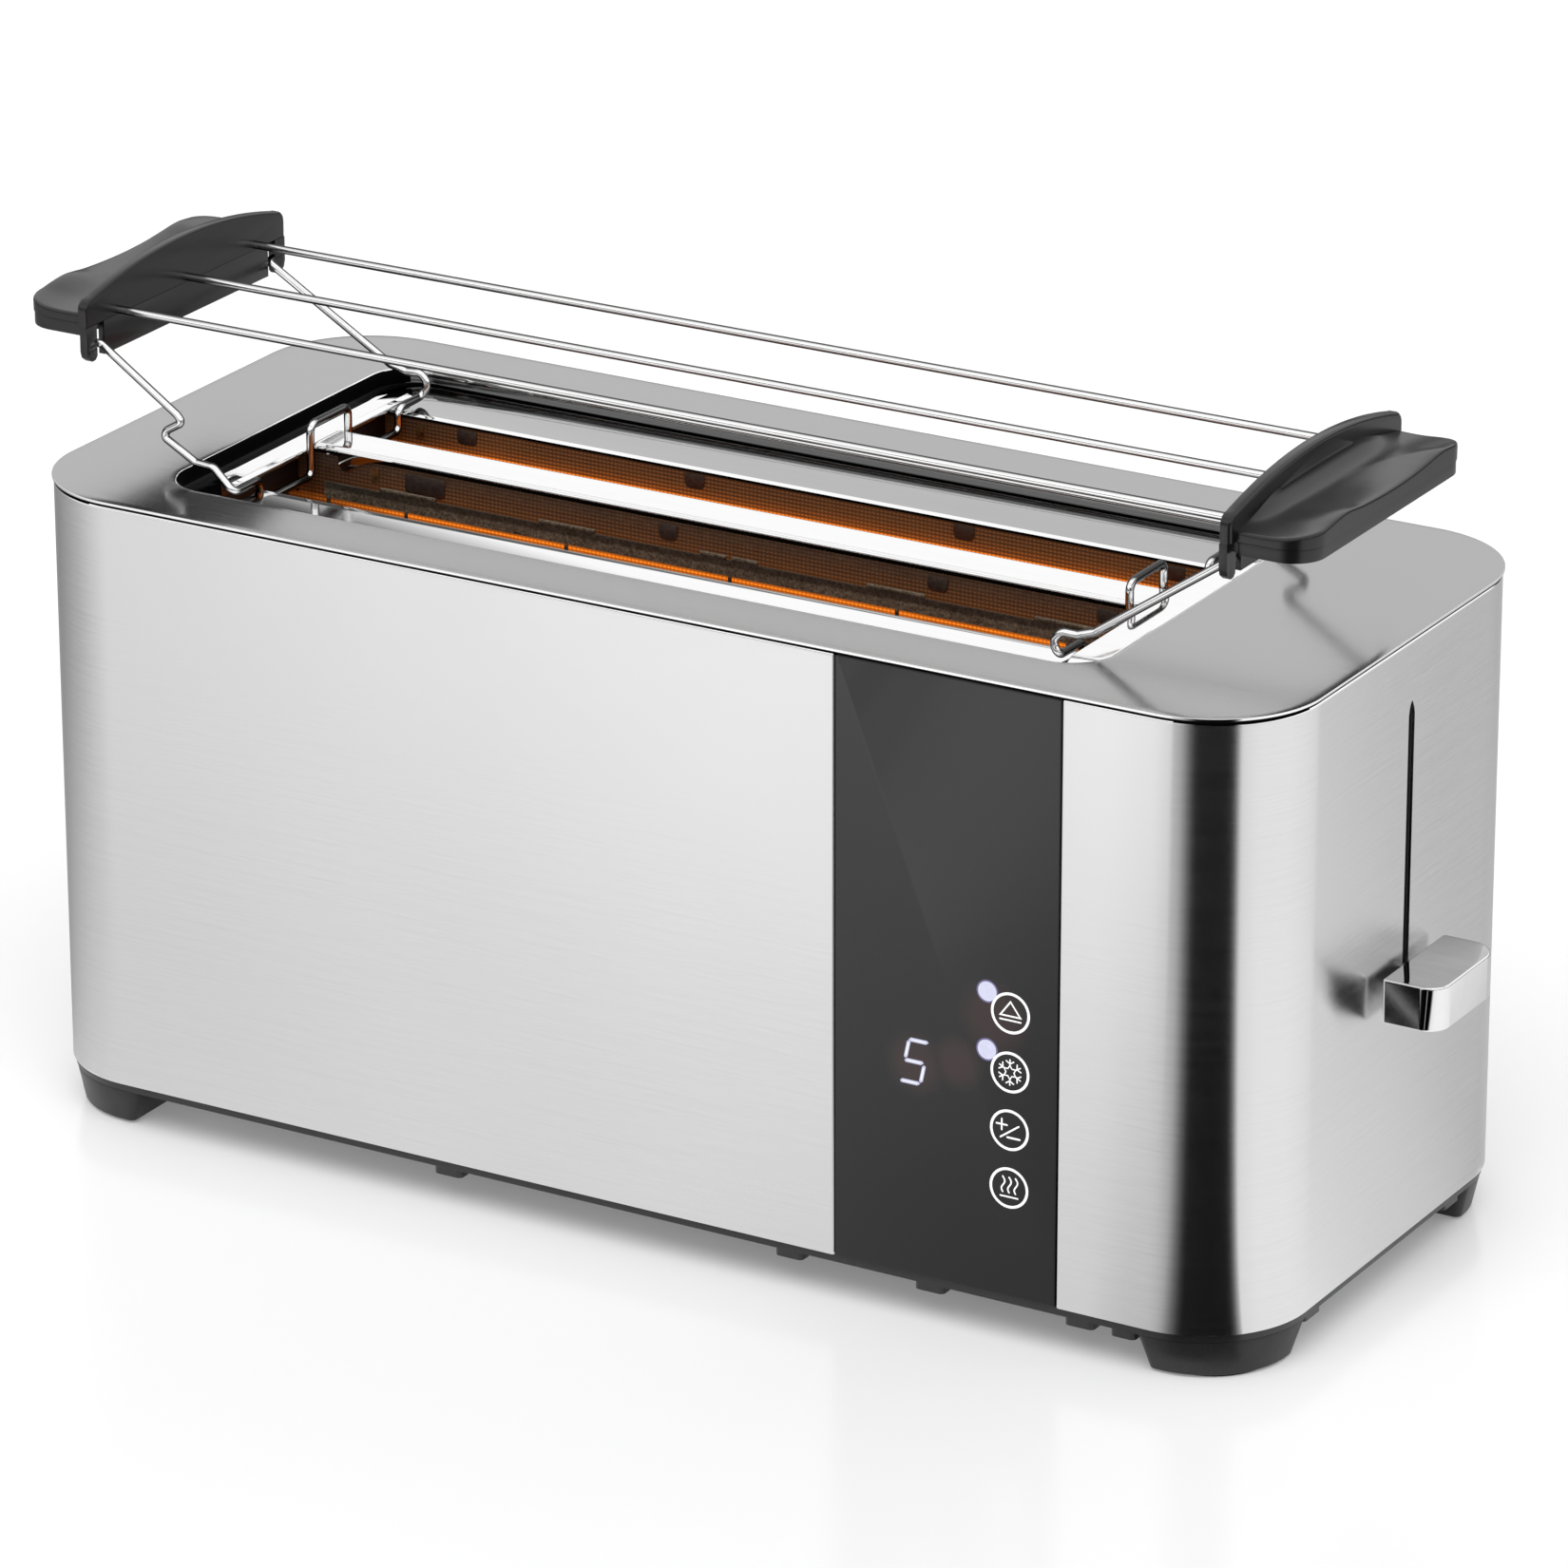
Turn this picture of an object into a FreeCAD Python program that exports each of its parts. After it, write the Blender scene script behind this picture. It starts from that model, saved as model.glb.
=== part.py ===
import FreeCAD, Part
import os, math
from FreeCAD import Vector as V

os.makedirs("parts", exist_ok=True)

# ---------------------------------------------------------------- driving sizes, mm
# X runs along the slots (+X is the lever end), -Y is the front with the control panel,
# Z is up from the floor the feet stand on. The origin is the bottom centre.
BODY_L, BODY_W = 400.0, 168.0       # steel sleeve, outside
CORNER_R = 32.2                     # sleeve corner radius seen from above
SLEEVE_T = 0.7
Z_BOT = 14.0                        # sleeve's lower edge above the floor
Z_TOP = 191.0                       # sleeve's upper edge
PLATE_OVER = 0.5                    # top plate stands this far past the sleeve
PLATE_Z0, PLATE_Z1 = 191.7, 192.5   # top plate sheet
REC_X0, REC_X1 = -162.6, 136.8      # recess opening in the top plate
REC_HY, REC_R = 62.3, 13.0
SLOT_X0, SLOT_X1 = -153.5, 123.5    # the two bread slots
SLOT_IN, SLOT_OUT = 6.2, 38.4       # each slot's edges from the middle line
FRAME_HI, FRAME_LO = 187.7, 186.35  # polished slot frame: outer rim and slot edge
BRIDGE_X0, BRIDGE_X1, BRIDGE_HY = -148.2, 125.1, 7.4
BRIDGE_Z = 190.7
PANEL_X0, PANEL_X1 = 70.6, 139.6    # black glass panel
LEVER_Y = 4.0                       # lever slot, from the middle line
LEVER_Z = 92.6                      # middle height of the lever knob, pressed down
LEVER_TRAVEL = 73.0
SLOT_C = 23.0                       # middle of each bread slot, from the middle line
GUARD_OFF = 9.0                     # bread guards from the slot's middle, closed
GUARD_TRAVEL = 4.38                 # and how far they open as the lever rises
GUARD_X0, GUARD_X1 = -139.0, 113.0
RACK_C = -13.0                      # middle of the bun rack along X
RACK_U = 181.6                      # inner face of the rack's end fences from RACK_C
RACK_OUT = 207.0                    # outer edge of the grips from RACK_C
ROD_Z, ROD_Y, ROD_D = 231.4, 35.3, 2.4
PIVOT_U, PIVOT_Z = 182.85, 223.9     # the folding legs' pivots
WIRE_D = 2.4
TRAY_PULL = 110.0


def save(name, shape):
    if isinstance(shape, (list, tuple)):
        shape = Part.makeCompound(list(shape))
    if not shape.isValid():
        print("NOT VALID", name)
    if shape.Volume <= 0:
        print("NO VOLUME", name)
    shape.exportStep("parts/%s.step" % name)
    b = shape.optimalBoundingBox(False, False)
    print("%-24s solids %3d vol %9.1f  x %.1f..%.1f y %.1f..%.1f z %.1f..%.1f" % (
        name, len(shape.Solids), shape.Volume, b.XMin, b.XMax, b.YMin, b.YMax, b.ZMin, b.ZMax))
    return shape


def box(x0, x1, y0, y1, z0, z1):
    return Part.makeBox(x1 - x0, y1 - y0, z1 - z0, V(x0, y0, z0))


def cyl(p, d, r, h):
    return Part.makeCylinder(r, h, V(*p), V(*d))


def rrect_wire(x0, x1, y0, y1, r, z):
    """Rounded rectangle in the XY plane; r is one radius or four (from x0,y0 round anticlockwise)."""
    rs = list(r) if isinstance(r, (list, tuple)) else [r] * 4
    k = math.sqrt(0.5)
    a, b, c, d = rs
    e = []

    def arc(cx, cy, rad, a0):
        pts = [V(cx + rad * math.cos(math.radians(t)), cy + rad * math.sin(math.radians(t)), z)
               for t in (a0, a0 + 45, a0 + 90)]
        return Part.Arc(*pts).toShape()
    e.append(arc(x0 + a, y0 + a, a, 180))
    e.append(Part.LineSegment(V(x0 + a, y0, z), V(x1 - b, y0, z)).toShape())
    e.append(arc(x1 - b, y0 + b, b, 270))
    e.append(Part.LineSegment(V(x1, y0 + b, z), V(x1, y1 - c, z)).toShape())
    e.append(arc(x1 - c, y1 - c, c, 0))
    e.append(Part.LineSegment(V(x1 - c, y1, z), V(x0 + d, y1, z)).toShape())
    e.append(arc(x0 + d, y1 - d, d, 90))
    e.append(Part.LineSegment(V(x0, y1 - d, z), V(x0, y0 + a, z)).toShape())
    return Part.Wire(e)


def rrect(x0, x1, y0, y1, r, z0, z1):
    return Part.Face(rrect_wire(x0, x1, y0, y1, r, z0)).extrude(V(0, 0, z1 - z0))


def body_block(inset, z0, z1):
    return rrect(-BODY_L / 2 + inset, BODY_L / 2 - inset, -BODY_W / 2 + inset, BODY_W / 2 - inset,
                 CORNER_R - inset, z0, z1)


def prism_yz(pts, x0, x1):
    w = Part.makePolygon([V(x0, y, z) for y, z in pts] + [V(x0, pts[0][0], pts[0][1])])
    return Part.Face(w).extrude(V(x1 - x0, 0, 0))


def prism_xz(pts, y0, y1):
    w = Part.makePolygon([V(x, y0, z) for x, z in pts] + [V(pts[0][0], y0, pts[0][1])])
    return Part.Face(w).extrude(V(0, y1 - y0, 0))


def try_fillet(shape, r, pick):
    try:
        ed = [e for e in shape.Edges if pick(e)]
        if not ed:
            return shape
        s = shape.makeFillet(r, ed)
        if s.isValid() and s.Volume > 0:
            return s
    except Exception:
        pass
    return shape


def round_path(points, radii):
    """Straight runs joined by tangent arcs."""
    pts = [V(*p) for p in points]
    edges = []
    cur = pts[0]
    n = len(pts)
    for i in range(1, n - 1):
        a, b, c = pts[i - 1], pts[i], pts[i + 1]
        u = (a - b).normalize()
        w = (c - b).normalize()
        ang = math.pi - u.getAngle(w)
        if ang < 0.01:
            continue
        r = radii[i - 1] if isinstance(radii, (list, tuple)) else radii
        t = r * math.tan(ang / 2)
        lim = 0.48 * min((a - b).Length, (c - b).Length)
        if t > lim:
            t = lim
            r = t / math.tan(ang / 2)
        p1 = b + u * t
        p2 = b + w * t
        bis = (u + w).normalize()
        cen = b + bis * (r / math.cos(ang / 2))
        mid = cen - bis * r
        if (p1 - cur).Length > 1e-4:
            edges.append(Part.LineSegment(cur, p1).toShape())
        edges.append(Part.Arc(p1, mid, p2).toShape())
        cur = p2
    if (pts[-1] - cur).Length > 1e-4:
        edges.append(Part.LineSegment(cur, pts[-1]).toShape())
    return Part.Wire(edges)


def tube(points, radii, d):
    path = round_path(points, radii)
    a, b = V(*points[0]), V(*points[1])
    circ = Part.Wire([Part.Circle(a, (b - a).normalize(), d / 2).toShape()])
    s = path.makePipeShell([circ], True, False)
    s = s.Solids[0] if s.Solids else Part.makeSolid(s)
    want = math.pi * d * d / 4 * path.Length
    if abs(s.Volume - want) > 0.02 * want:
        print("TUBE volume", s.Volume, "wanted", want)
    return s


# ---------------------------------------------------------------- steel sleeve
sleeve = body_block(0, Z_BOT, Z_TOP).cut(body_block(SLEEVE_T, Z_BOT - 1, Z_TOP + 1))
gap = 0.25
sleeve = sleeve.cut(box(PANEL_X0 - gap, PANEL_X1 + gap, -90, -70, 0, 200))
for x0, x1 in ((PANEL_X0 - gap - SLEEVE_T, PANEL_X0 - gap), (PANEL_X1 + gap, PANEL_X1 + gap + SLEEVE_T)):
    sleeve = sleeve.fuse(box(x0, x1, -BODY_W / 2 + 0.35, -78.0, Z_BOT, Z_TOP))
SL_Z0, SL_Z1 = 85.0, 173.4          # lever slot in the right end
hw = 1.8
slot_cut = box(196, 203, LEVER_Y - hw, LEVER_Y + hw, SL_Z0 + hw, SL_Z1 - hw - 2.0)
slot_cut = slot_cut.fuse(cyl((196, LEVER_Y, SL_Z0 + hw), (1, 0, 0), hw, 7))
slot_cut = slot_cut.fuse(prism_yz([(LEVER_Y - hw, SL_Z1 - hw - 2.2), (LEVER_Y + hw, SL_Z1 - hw - 2.2),
                                   (LEVER_Y + 0.9, SL_Z1 - 0.9), (LEVER_Y, SL_Z1), (LEVER_Y - 0.9, SL_Z1 - 0.9)], 196, 203))
sleeve = sleeve.cut(slot_cut)
TR_X0, TR_X1 = -151.0, 121.0        # crumb tray mouth in the back
sleeve = sleeve.cut(box(TR_X0, TR_X1, 80, 90, 15.5, 29.0))
sleeve = sleeve.cut(box(-45.0, 15.0, 80, 90, 13.0, 16.0))
GLAND = (156.0, 42.0)               # cord gland, x and z, in the back
sleeve = sleeve.cut(cyl((GLAND[0], 80, GLAND[1]), (0, 1, 0), 7.1, 10))
save("outer_sleeve", sleeve.removeSplitter())

# ---------------------------------------------------------------- black frame under the top plate
def recess_block(grow, z0, z1):
    return rrect(REC_X0 - grow, REC_X1 + grow, -REC_HY - grow, REC_HY + grow, REC_R + grow, z0, z1)

upper = body_block(SLEEVE_T + 0.1, 189.7, PLATE_Z0)
upper = upper.fuse(body_block(SLEEVE_T + 0.1, 184.0, 189.7).cut(body_block(SLEEVE_T + 2.3, 183, 190)))
upper = upper.fuse(recess_block(3.2, 184.0, 189.8))
upper = upper.cut(recess_block(0.85, 180, 195))
# the wall's top clears the panel glass and its carrier at the front
upper = upper.cut(box(PANEL_X0 - 1.4, PANEL_X1 + 1.4, -85, -77.6, 180, 191.0))
save("upper_frame", upper.removeSplitter())

# ---------------------------------------------------------------- brushed top plate
plate = rrect(-BODY_L / 2 - PLATE_OVER, BODY_L / 2 + PLATE_OVER, -BODY_W / 2 - PLATE_OVER, BODY_W / 2 + PLATE_OVER,
              CORNER_R + PLATE_OVER, PLATE_Z0, PLATE_Z1)
# its turned-down skirt lines the recess as far as the slot frame
plate = plate.fuse(recess_block(0.8, 188.05, PLATE_Z1))
plate = plate.cut(recess_block(0, 180, 200)).removeSplitter()
plate = try_fillet(plate, 0.7, lambda e: abs(e.BoundBox.ZMin - PLATE_Z1) < 1e-3 and abs(e.BoundBox.ZMax - PLATE_Z1) < 1e-3)
save("top_plate", plate)

# ---------------------------------------------------------------- polished slot frame
GR = 0.75
prof = [(-REC_HY - GR, FRAME_HI), (-SLOT_OUT, FRAME_LO), (SLOT_OUT, FRAME_LO), (REC_HY + GR, FRAME_HI),
        (REC_HY + GR, FRAME_HI - 0.8), (SLOT_OUT, FRAME_LO - 0.8), (-SLOT_OUT, FRAME_LO - 0.8), (-REC_HY - GR, FRAME_HI - 0.8)]
frame = prism_yz(prof, REC_X0 - GR, REC_X1 + GR).common(recess_block(GR, 180, 195))
for s in (-1, 1):
    ya, yb = sorted((s * SLOT_IN, s * SLOT_OUT))
    # turned-down lips on the slot's outer edge and its two ends
    lip = rrect(SLOT_X0 - 0.8, SLOT_X1 + 0.8, ya if s > 0 else ya - 0.8, yb if s < 0 else yb + 0.8, 1.6, 185.4, FRAME_LO)
    lip = lip.cut(rrect(SLOT_X0, SLOT_X1, ya - (0 if s < 0 else 5), yb + (0 if s > 0 else 5), 1.0, 180, 190))
    if s < 0:
        lip = lip.cut(box(SLOT_X0, SLOT_X1, yb - 0.01, yb + 9, 180, 190))
    frame = frame.fuse(lip)
for s in (-1, 1):
    ya, yb = sorted((s * SLOT_IN, s * SLOT_OUT))
    frame = frame.cut(rrect(SLOT_X0, SLOT_X1, ya, yb, 1.0, 180, 195))
# the right end rises to the bridge's level and its flanks slope back to the long strips
END_X0, END_X1 = 125.2, 135.3
ramp = [(-58.6, FRAME_HI - 0.75), (-52.0, BRIDGE_Z), (52.0, BRIDGE_Z), (58.6, FRAME_HI - 0.75), (57.4, FRAME_HI - 1.0), (51.6, BRIDGE_Z - 0.8),
        (-51.6, BRIDGE_Z - 0.8), (-57.4, FRAME_HI - 1.0)]
end = prism_yz(ramp, END_X0, END_X1)
wall = prism_yz([(-57.4, FRAME_HI - 0.9), (-51.8, BRIDGE_Z - 0.4), (51.8, BRIDGE_Z - 0.4), (57.4, FRAME_HI - 0.9), (57.4, FRAME_HI - 1.2), (SLOT_OUT, FRAME_LO - 0.4),
                 (-SLOT_OUT, FRAME_LO - 0.4), (-57.4, FRAME_HI - 1.2)], END_X0, END_X0 + 0.8)
end = end.fuse(wall).common(recess_block(-1.5, 180, 195))
frame = frame.fuse(end)
# the left end is raised too, a little lower; its inner edge folds down and its corners are cut
LEFT_X0, LEFT_X1, LEFT_Z = -157.0, -148.4, 189.5
lo = [(LEFT_X0, -38.0), (-156.2, -41.6), (-154.4, -44.8), (-152.2, -46.9), (-150.0, -47.6), (LEFT_X1, -47.6)]
lo = lo + [(x, -y) for x, y in lo[::-1]]
def left_block(z0, z1):
    return Part.Face(Part.makePolygon([V(x, y, z0) for x, y in lo + lo[:1]])).extrude(V(0, 0, z1 - z0))
fold = prism_xz([(LEFT_X0 - 1, 188.7), (-150.2, 188.7), (LEFT_X1 + 0.2, 188.25), (LEFT_X1 + 0.2, 189.05), (-150.2, LEFT_Z), (LEFT_X0 - 1, LEFT_Z)], -60, 60)
end = left_block(188.0, LEFT_Z).common(fold).fuse(left_block(186.0, 188.9).common(box(LEFT_X0 - 1, -154.0, -60, 60, 186.0, 188.9)))
frame = frame.fuse(end)
save("slot_frame", frame.removeSplitter())

# ---------------------------------------------------------------- raised centre bridge
br = rrect(BRIDGE_X0, BRIDGE_X1, -BRIDGE_HY, BRIDGE_HY, 1.5, BRIDGE_Z - 0.8, BRIDGE_Z)
for s in (-1, 1):
    ya, yb = sorted((s * (BRIDGE_HY - 0.8), s * BRIDGE_HY))
    br = br.fuse(box(BRIDGE_X0 + 1.6, BRIDGE_X1 - 1.6, ya, yb, BRIDGE_Z - 1.6, BRIDGE_Z - 0.7))
br = br.fuse(box(-136.0, BRIDGE_X1 - 3, -2.0, 2.0, FRAME_LO, BRIDGE_Z - 0.7))
# a cheek hangs down beside each flange at the left end
for s in (-1, 1):
    ya, yb = sorted((s * (BRIDGE_HY + 0.2), s * (BRIDGE_HY + 0.7)))
    cheek = prism_xz([(-138.4, 190.0), (-138.2, 186.2), (-137.3, 184.7), (-136.0, 184.2), (-134.6, 184.7), (-133.0, 185.8), (-128.1, 188.1),
                      (-123.5, 189.2), (-119.7, 189.9), (-119.7, 190.0)], ya, yb)
    ya, yb = sorted((s * (BRIDGE_HY - 0.3), s * (BRIDGE_HY + 0.7)))
    br = br.fuse(cheek).fuse(box(-138.4, -121.0, ya, yb, 189.4, 190.0))
br = try_fillet(br.removeSplitter(), 0.6, lambda e: abs(e.BoundBox.ZMin - BRIDGE_Z) < 1e-3 and abs(e.BoundBox.ZMax - BRIDGE_Z) < 1e-3)
save("centre_bridge", br)

# ---------------------------------------------------------------- heaters: mica boards with ribbon windings
BT = 0.5
boards = {"front_outer": -39.1, "front_inner": -7.0, "rear_inner": 7.0, "rear_outer": 39.1}
HB_X0, HB_X1 = -152.6, 122.6
PL_X, PR_X = -156.2, 126.5            # inner faces of the two chassis plates
clips, terminals = [], []
# rounded clips that fold over each board's top edge: (middle, width, depth)
CLIPS_IN = [(-109.0, 13.6, 6.0), (-27.8, 5.8, 4.8), (59.2, 6.4, 4.4), (112.5, 6.4, 4.4)]
CLIPS_OUT = [(-124.0, 6.8, 4.6), (-46.7, 6.6, 4.4), (41.8, 6.8, 4.3), (109.0, 6.6, 4.4)]
for nm, y in boards.items():
    inner = "inner" in nm
    top = 188.0 if inner else 185.2
    b = box(HB_X0, HB_X1, y - BT / 2, y + BT / 2, 79.0, top)
    for zc in (95.0, 135.0, 170.0):
        b = b.fuse(box(PL_X, -150, y - BT / 2, y + BT / 2, zc - 5, zc + 5))
        b = b.fuse(box(120, PR_X, y - BT / 2, y + BT / 2, zc - 5, zc + 5))
    save("heater_board_" + nm, b.removeSplitter())
    face = 1 if nm in ("rear_inner", "front_outer") else -1   # side that faces its slot
    zs = [184.6 - 1.15 * i for i in range(10)] + [168.5 - 6.0 * i for i in range(14)]
    rib = []
    for z in zs:
        yf = y + face * BT / 2
        ya, yb = sorted((yf, yf + face * 0.15))
        rib.append(box(-147.0, 117.0, ya, yb, z - 0.28, z + 0.28))
    save("heater_winding_" + nm, rib)
    for xc, w, h in (CLIPS_IN if inner else CLIPS_OUT):
        yf = y + face * (BT / 2 + 0.15)
        ya, yb = sorted((yf, yf + face * 0.45))
        z1 = top - (0.9 if inner else 0.2)
        z0 = z1 - h
        c = 1.6
        k = c * (1 - math.sqrt(0.5))
        clips.append(prism_xz([(xc - w / 2, z1), (xc + w / 2, z1), (xc + w / 2, z0 + c), (xc + w / 2 - k, z0 + k), (xc + w / 2 - c, z0),
                               (xc - w / 2 + c, z0), (xc - w / 2 + k, z0 + k), (xc - w / 2, z0 + c)], ya, yb))
    yf = y + face * (BT / 2 + 0.15)
    ya, yb = sorted((yf, yf + face * 0.6))
    xt = -127.2 if inner else -141.2
    terminals.append(box(xt, xt + 2.6, ya, yb, top - 5.4, top - 1.4))
save("heater_terminals", terminals)
save("mica_clips", clips)

# ---------------------------------------------------------------- bread guards: wire cages that close on the bread
def guard(y, z_top, tabs):
    g = box(GUARD_X0, GUARD_X1, y - 0.4, y + 0.4, z_top - 4.6, z_top)
    g = g.fuse(box(GUARD_X0, GUARD_X1, y - 0.4, y + 0.4, 76.0, 80.0))
    for x in (-137.9, -111.5, -57.7, -3.9, 49.9, 103.7, 111.9):
        g = g.fuse(cyl((x, y, 77.0), (0, 0, 1), 0.55, z_top - 0.6 - 77.0))
    for x0, x1 in tabs:
        g = g.fuse(box(x0, x1, y - 0.4, y + 0.4, z_top - 0.5, z_top + 1.2))
    return g
# the guards beside the centre bridge carry small raised tabs; the outer pair sits lower
RAIL_TABS = [(-119.9, -101.5), (-66.6, -48.4), (-13.3, -5.1), (-3.1, 5.1), (40.3, 58.7), (93.4, 111.4)]
guards = {"front_slot_guard_near": (-SLOT_C - GUARD_OFF, 175.5, []), "front_slot_guard_far": (-SLOT_C + GUARD_OFF, 182.6, RAIL_TABS),
          "rear_slot_guard_near": (SLOT_C - GUARD_OFF, 182.6, RAIL_TABS), "rear_slot_guard_far": (SLOT_C + GUARD_OFF, 175.5, [])}
for nm, (y, zt, tb) in guards.items():
    save(nm, guard(y, zt, tb))

# ---------------------------------------------------------------- inner chassis
def end_plate(x0, x1):
    p = box(x0, x1, -60, 60, 14.0, 183.5)
    p = p.fuse(box(x0, x1, -14, 14, 183.0, 185.55)).cut(box(x0 - 1, x1 + 1, -5, 5, 184.4, 190))
    for s in (-1, 1):
        p = p.cut(box(x0 - 1, x1 + 1, s * SLOT_C - 2.2, s * SLOT_C + 2.2, 58.0, 156.0))
    return p
lp = end_plate(PL_X - 1.0, PL_X)
lp = lp.fuse(box(PL_X - 7.0, PL_X, -60, 60, 14.0, 15.0))
save("left_chassis_plate", lp.removeSplitter())
rp = end_plate(PR_X, PR_X + 1.0)
rp = rp.fuse(box(PR_X, PR_X + 7.0, -60, -32, 14.0, 15.0)).fuse(box(PR_X, PR_X + 7.0, 32, 60, 14.0, 15.0))
rp = rp.fuse(box(PR_X, 138.5, 59.0, 60.0, 70.0, 146.0))
save("right_chassis_plate", rp.removeSplitter())
rails = []
for y in (-57.0, 57.0):
    for z in (31.0, 120.0):
        rails.append(box(PL_X, PR_X, y - 3, y + 3, z, z + 1.0))
save("chassis_rails", rails)
save("heat_shields", [box(PL_X, PR_X, y - 0.25, y + 0.25, 34.0, 181.0) for y in (-47.0, 47.0)])
save("centre_reflector", box(PL_X, PR_X, -0.25, 0.25, 60.0, 183.0))

# ---------------------------------------------------------------- base, feet, pads
base = body_block(0.8, 11.7, Z_BOT)
base = base.fuse(body_block(SLEEVE_T + 0.1, Z_BOT, 25.0).cut(body_block(SLEEVE_T + 2.4, Z_BOT - 1, 26.0)))
# shallow well under the tray with vent slots
for i in range(-6, 6):
    for y in (-38.0, 0.0, 38.0):
        xc = i * 20.0 - 5.0
        base = base.cut(rrect(xc - 2, xc + 2, y - 15, y + 15, 1.9, 11, 15))
# the tray's mouth at the back and a finger notch below it
base = base.cut(box(TR_X0 - 0.5, TR_X1 + 0.5, 78, 90, 15.0, 30.0))
base = base.cut(box(-46, 16, 70, 90, 11, 16.2))
# the panel's lower end and its carrier at the front
base = base.cut(box(PANEL_X0 - 1.4, PANEL_X1 + 1.4, -85, -77.6, Z_BOT, 30.0))
base = base.cut(cyl((GLAND[0], 78, GLAND[1]), (0, 1, 0), 9.0, 10))
tabs = [(-57.7, 9.2), (54.3, 8.8), (99.0, 9.2), (145.8, 9.0), (159.3, 7.6)]
for xc, w in tabs:
    for s in (-1, 1):
        ya, yb = sorted((s * 76.5, s * 81.6))
        base = base.fuse(rrect(xc - w / 2, xc + w / 2, ya, yb, 1.5, 8.6, 12.0))
for yc in (-42.9, 42.9):
    for s in (-1, 1):
        xa, xb = sorted((s * 191.5, s * 197.6))
        base = base.fuse(rrect(xa, xb, yc - 5, yc + 5, 1.5, 8.6, 12.0))
for sx in (-1, 1):
    for sy in (-1, 1):
        base = base.fuse(cyl((sx * 172.0, sy * 56.0, 13.9), (0, 0, 1), 4.0, 12.1))
        base = base.cut(cyl((sx * 172.0, sy * 56.0, 16.0), (0, 0, 1), 1.5, 12))
base = base.removeSplitter()
save("base_moulding", base)

feet, pads = [], []
for sx in (-1, 1):
    for sy in (-1, 1):
        def foot_wire(ins, z, rin, big):
            x0, x1, y0, y1 = 163.6 + ins, 199.0 - ins, 48.4 + ins, 83.0 - ins
            xa, xb = (x0, x1) if sx > 0 else (-x1, -x0)
            ya, yb = (y0, y1) if sy > 0 else (-y1, -y0)
            r = [rin] * 4
            r[{(-1, -1): 0, (1, -1): 1, (1, 1): 2, (-1, 1): 3}[(sx, sy)]] = big
            return rrect_wire(xa, xb, ya, yb, r, z)
        feet.append(Part.makeLoft([foot_wire(3.0, 0.8, 2.0, 26.0), foot_wire(0.0, 11.7, 3.0, 31.0)], True, True))
        pads.append(Part.Face(foot_wire(6.0, 0.0, 2.0, 18.0)).extrude(V(0, 0, 0.8)))
save("feet", feet)
save("foot_pads", pads)

# ---------------------------------------------------------------- crumb tray, pulled out at the back
TZ = 17.6
tray = rrect(-148.0, 118.0, -64.0, 72.0, 3.0, TZ, TZ + 8.0).cut(rrect(-147.3, 117.3, -63.3, 71.3, 2.4, TZ + 0.7, TZ + 20))
tray = tray.fuse(box(-146.0, 116.0, 71.3, 82.4, TZ, TZ + 0.7))
tray = tray.fuse(box(-149.8, 119.8, 82.3, 83.9, 16.6, 27.8))
tray = tray.fuse(box(-40.0, 10.0, 82.3, 83.9, 12.2, 16.7))
save("crumb_tray", tray.removeSplitter())

# ---------------------------------------------------------------- control panel
glass = box(PANEL_X0, PANEL_X1, -84.0, -82.2, 14.2, 190.8)
save("control_panel", glass)
carrier = box(71.4, 138.8, -82.2, -79.8, 15.0, 190.0)
WIN = (84.0, 108.5, 66.5, 87.0)
carrier = carrier.cut(box(WIN[0], WIN[1], -83, -79, WIN[2], WIN[3]))
ICON_X, ICON_Z = 125.2, [97.9, 80.6, 63.6, 46.5]
LED_X, LED_Z = 118.3, [102.8, 85.8]
for z in ICON_Z:
    carrier = carrier.cut(cyl((ICON_X, -83, z), (0, 1, 0), 5.0, 5))
for z in LED_Z:
    carrier = carrier.cut(cyl((LED_X, -83, z), (0, 1, 0), 1.8, 5))
save("panel_carrier", carrier)
disp = box(WIN[0] + 0.2, WIN[1] - 0.2, -82.15, -76.0, WIN[2] + 0.2, WIN[3] - 0.2)
save("display_module", disp)
save("status_leds", [cyl((LED_X, -82.1, z), (0, 1, 0), 1.6, 6.1) for z in LED_Z])
save("touch_springs", [cyl((ICON_X, -82.1, z), (0, 1, 0), 4.6, 6.1).cut(cyl((ICON_X, -83, z), (0, 1, 0), 3.4, 9)) for z in ICON_Z])
save("control_board", box(76.0, 134.0, -76.0, -74.4, 34.0, 118.0))

# ---------------------------------------------------------------- power board and its parts, gland, terminal, wiring
save("power_board", box(134.0, 190.0, 60.0, 61.6, 66.0, 150.0))
save("power_components", [box(140, 158, 44.0, 60.0, 112.0, 132.0),           # relay
                          box(164, 184, 42.0, 60.0, 108.0, 134.0),           # small transformer
                          cyl((146.0, 60.0, 90.0), (0, -1, 0), 6.0, 14.0),   # capacitors
                          cyl((166.0, 60.0, 88.0), (0, -1, 0), 4.5, 11.0)])
gl = cyl((GLAND[0], 80.6, GLAND[1]), (0, 1, 0), 7.0, 3.6)
gl = gl.fuse(cyl((GLAND[0], 80.4, GLAND[1]), (0, 1, 0), 8.6, 2.6)).fuse(cyl((GLAND[0], 84.0, GLAND[1]), (0, 1, 0), 8.2, 0.5))
gl = gl.fuse(cyl((GLAND[0], 74.0, GLAND[1]), (0, 1, 0), 6.0, 6.6))
gl = gl.cut(cyl((GLAND[0], 76.0, GLAND[1]), (0, 1, 0), 3.6, 12))
save("cord_gland", gl.removeSplitter())
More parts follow.
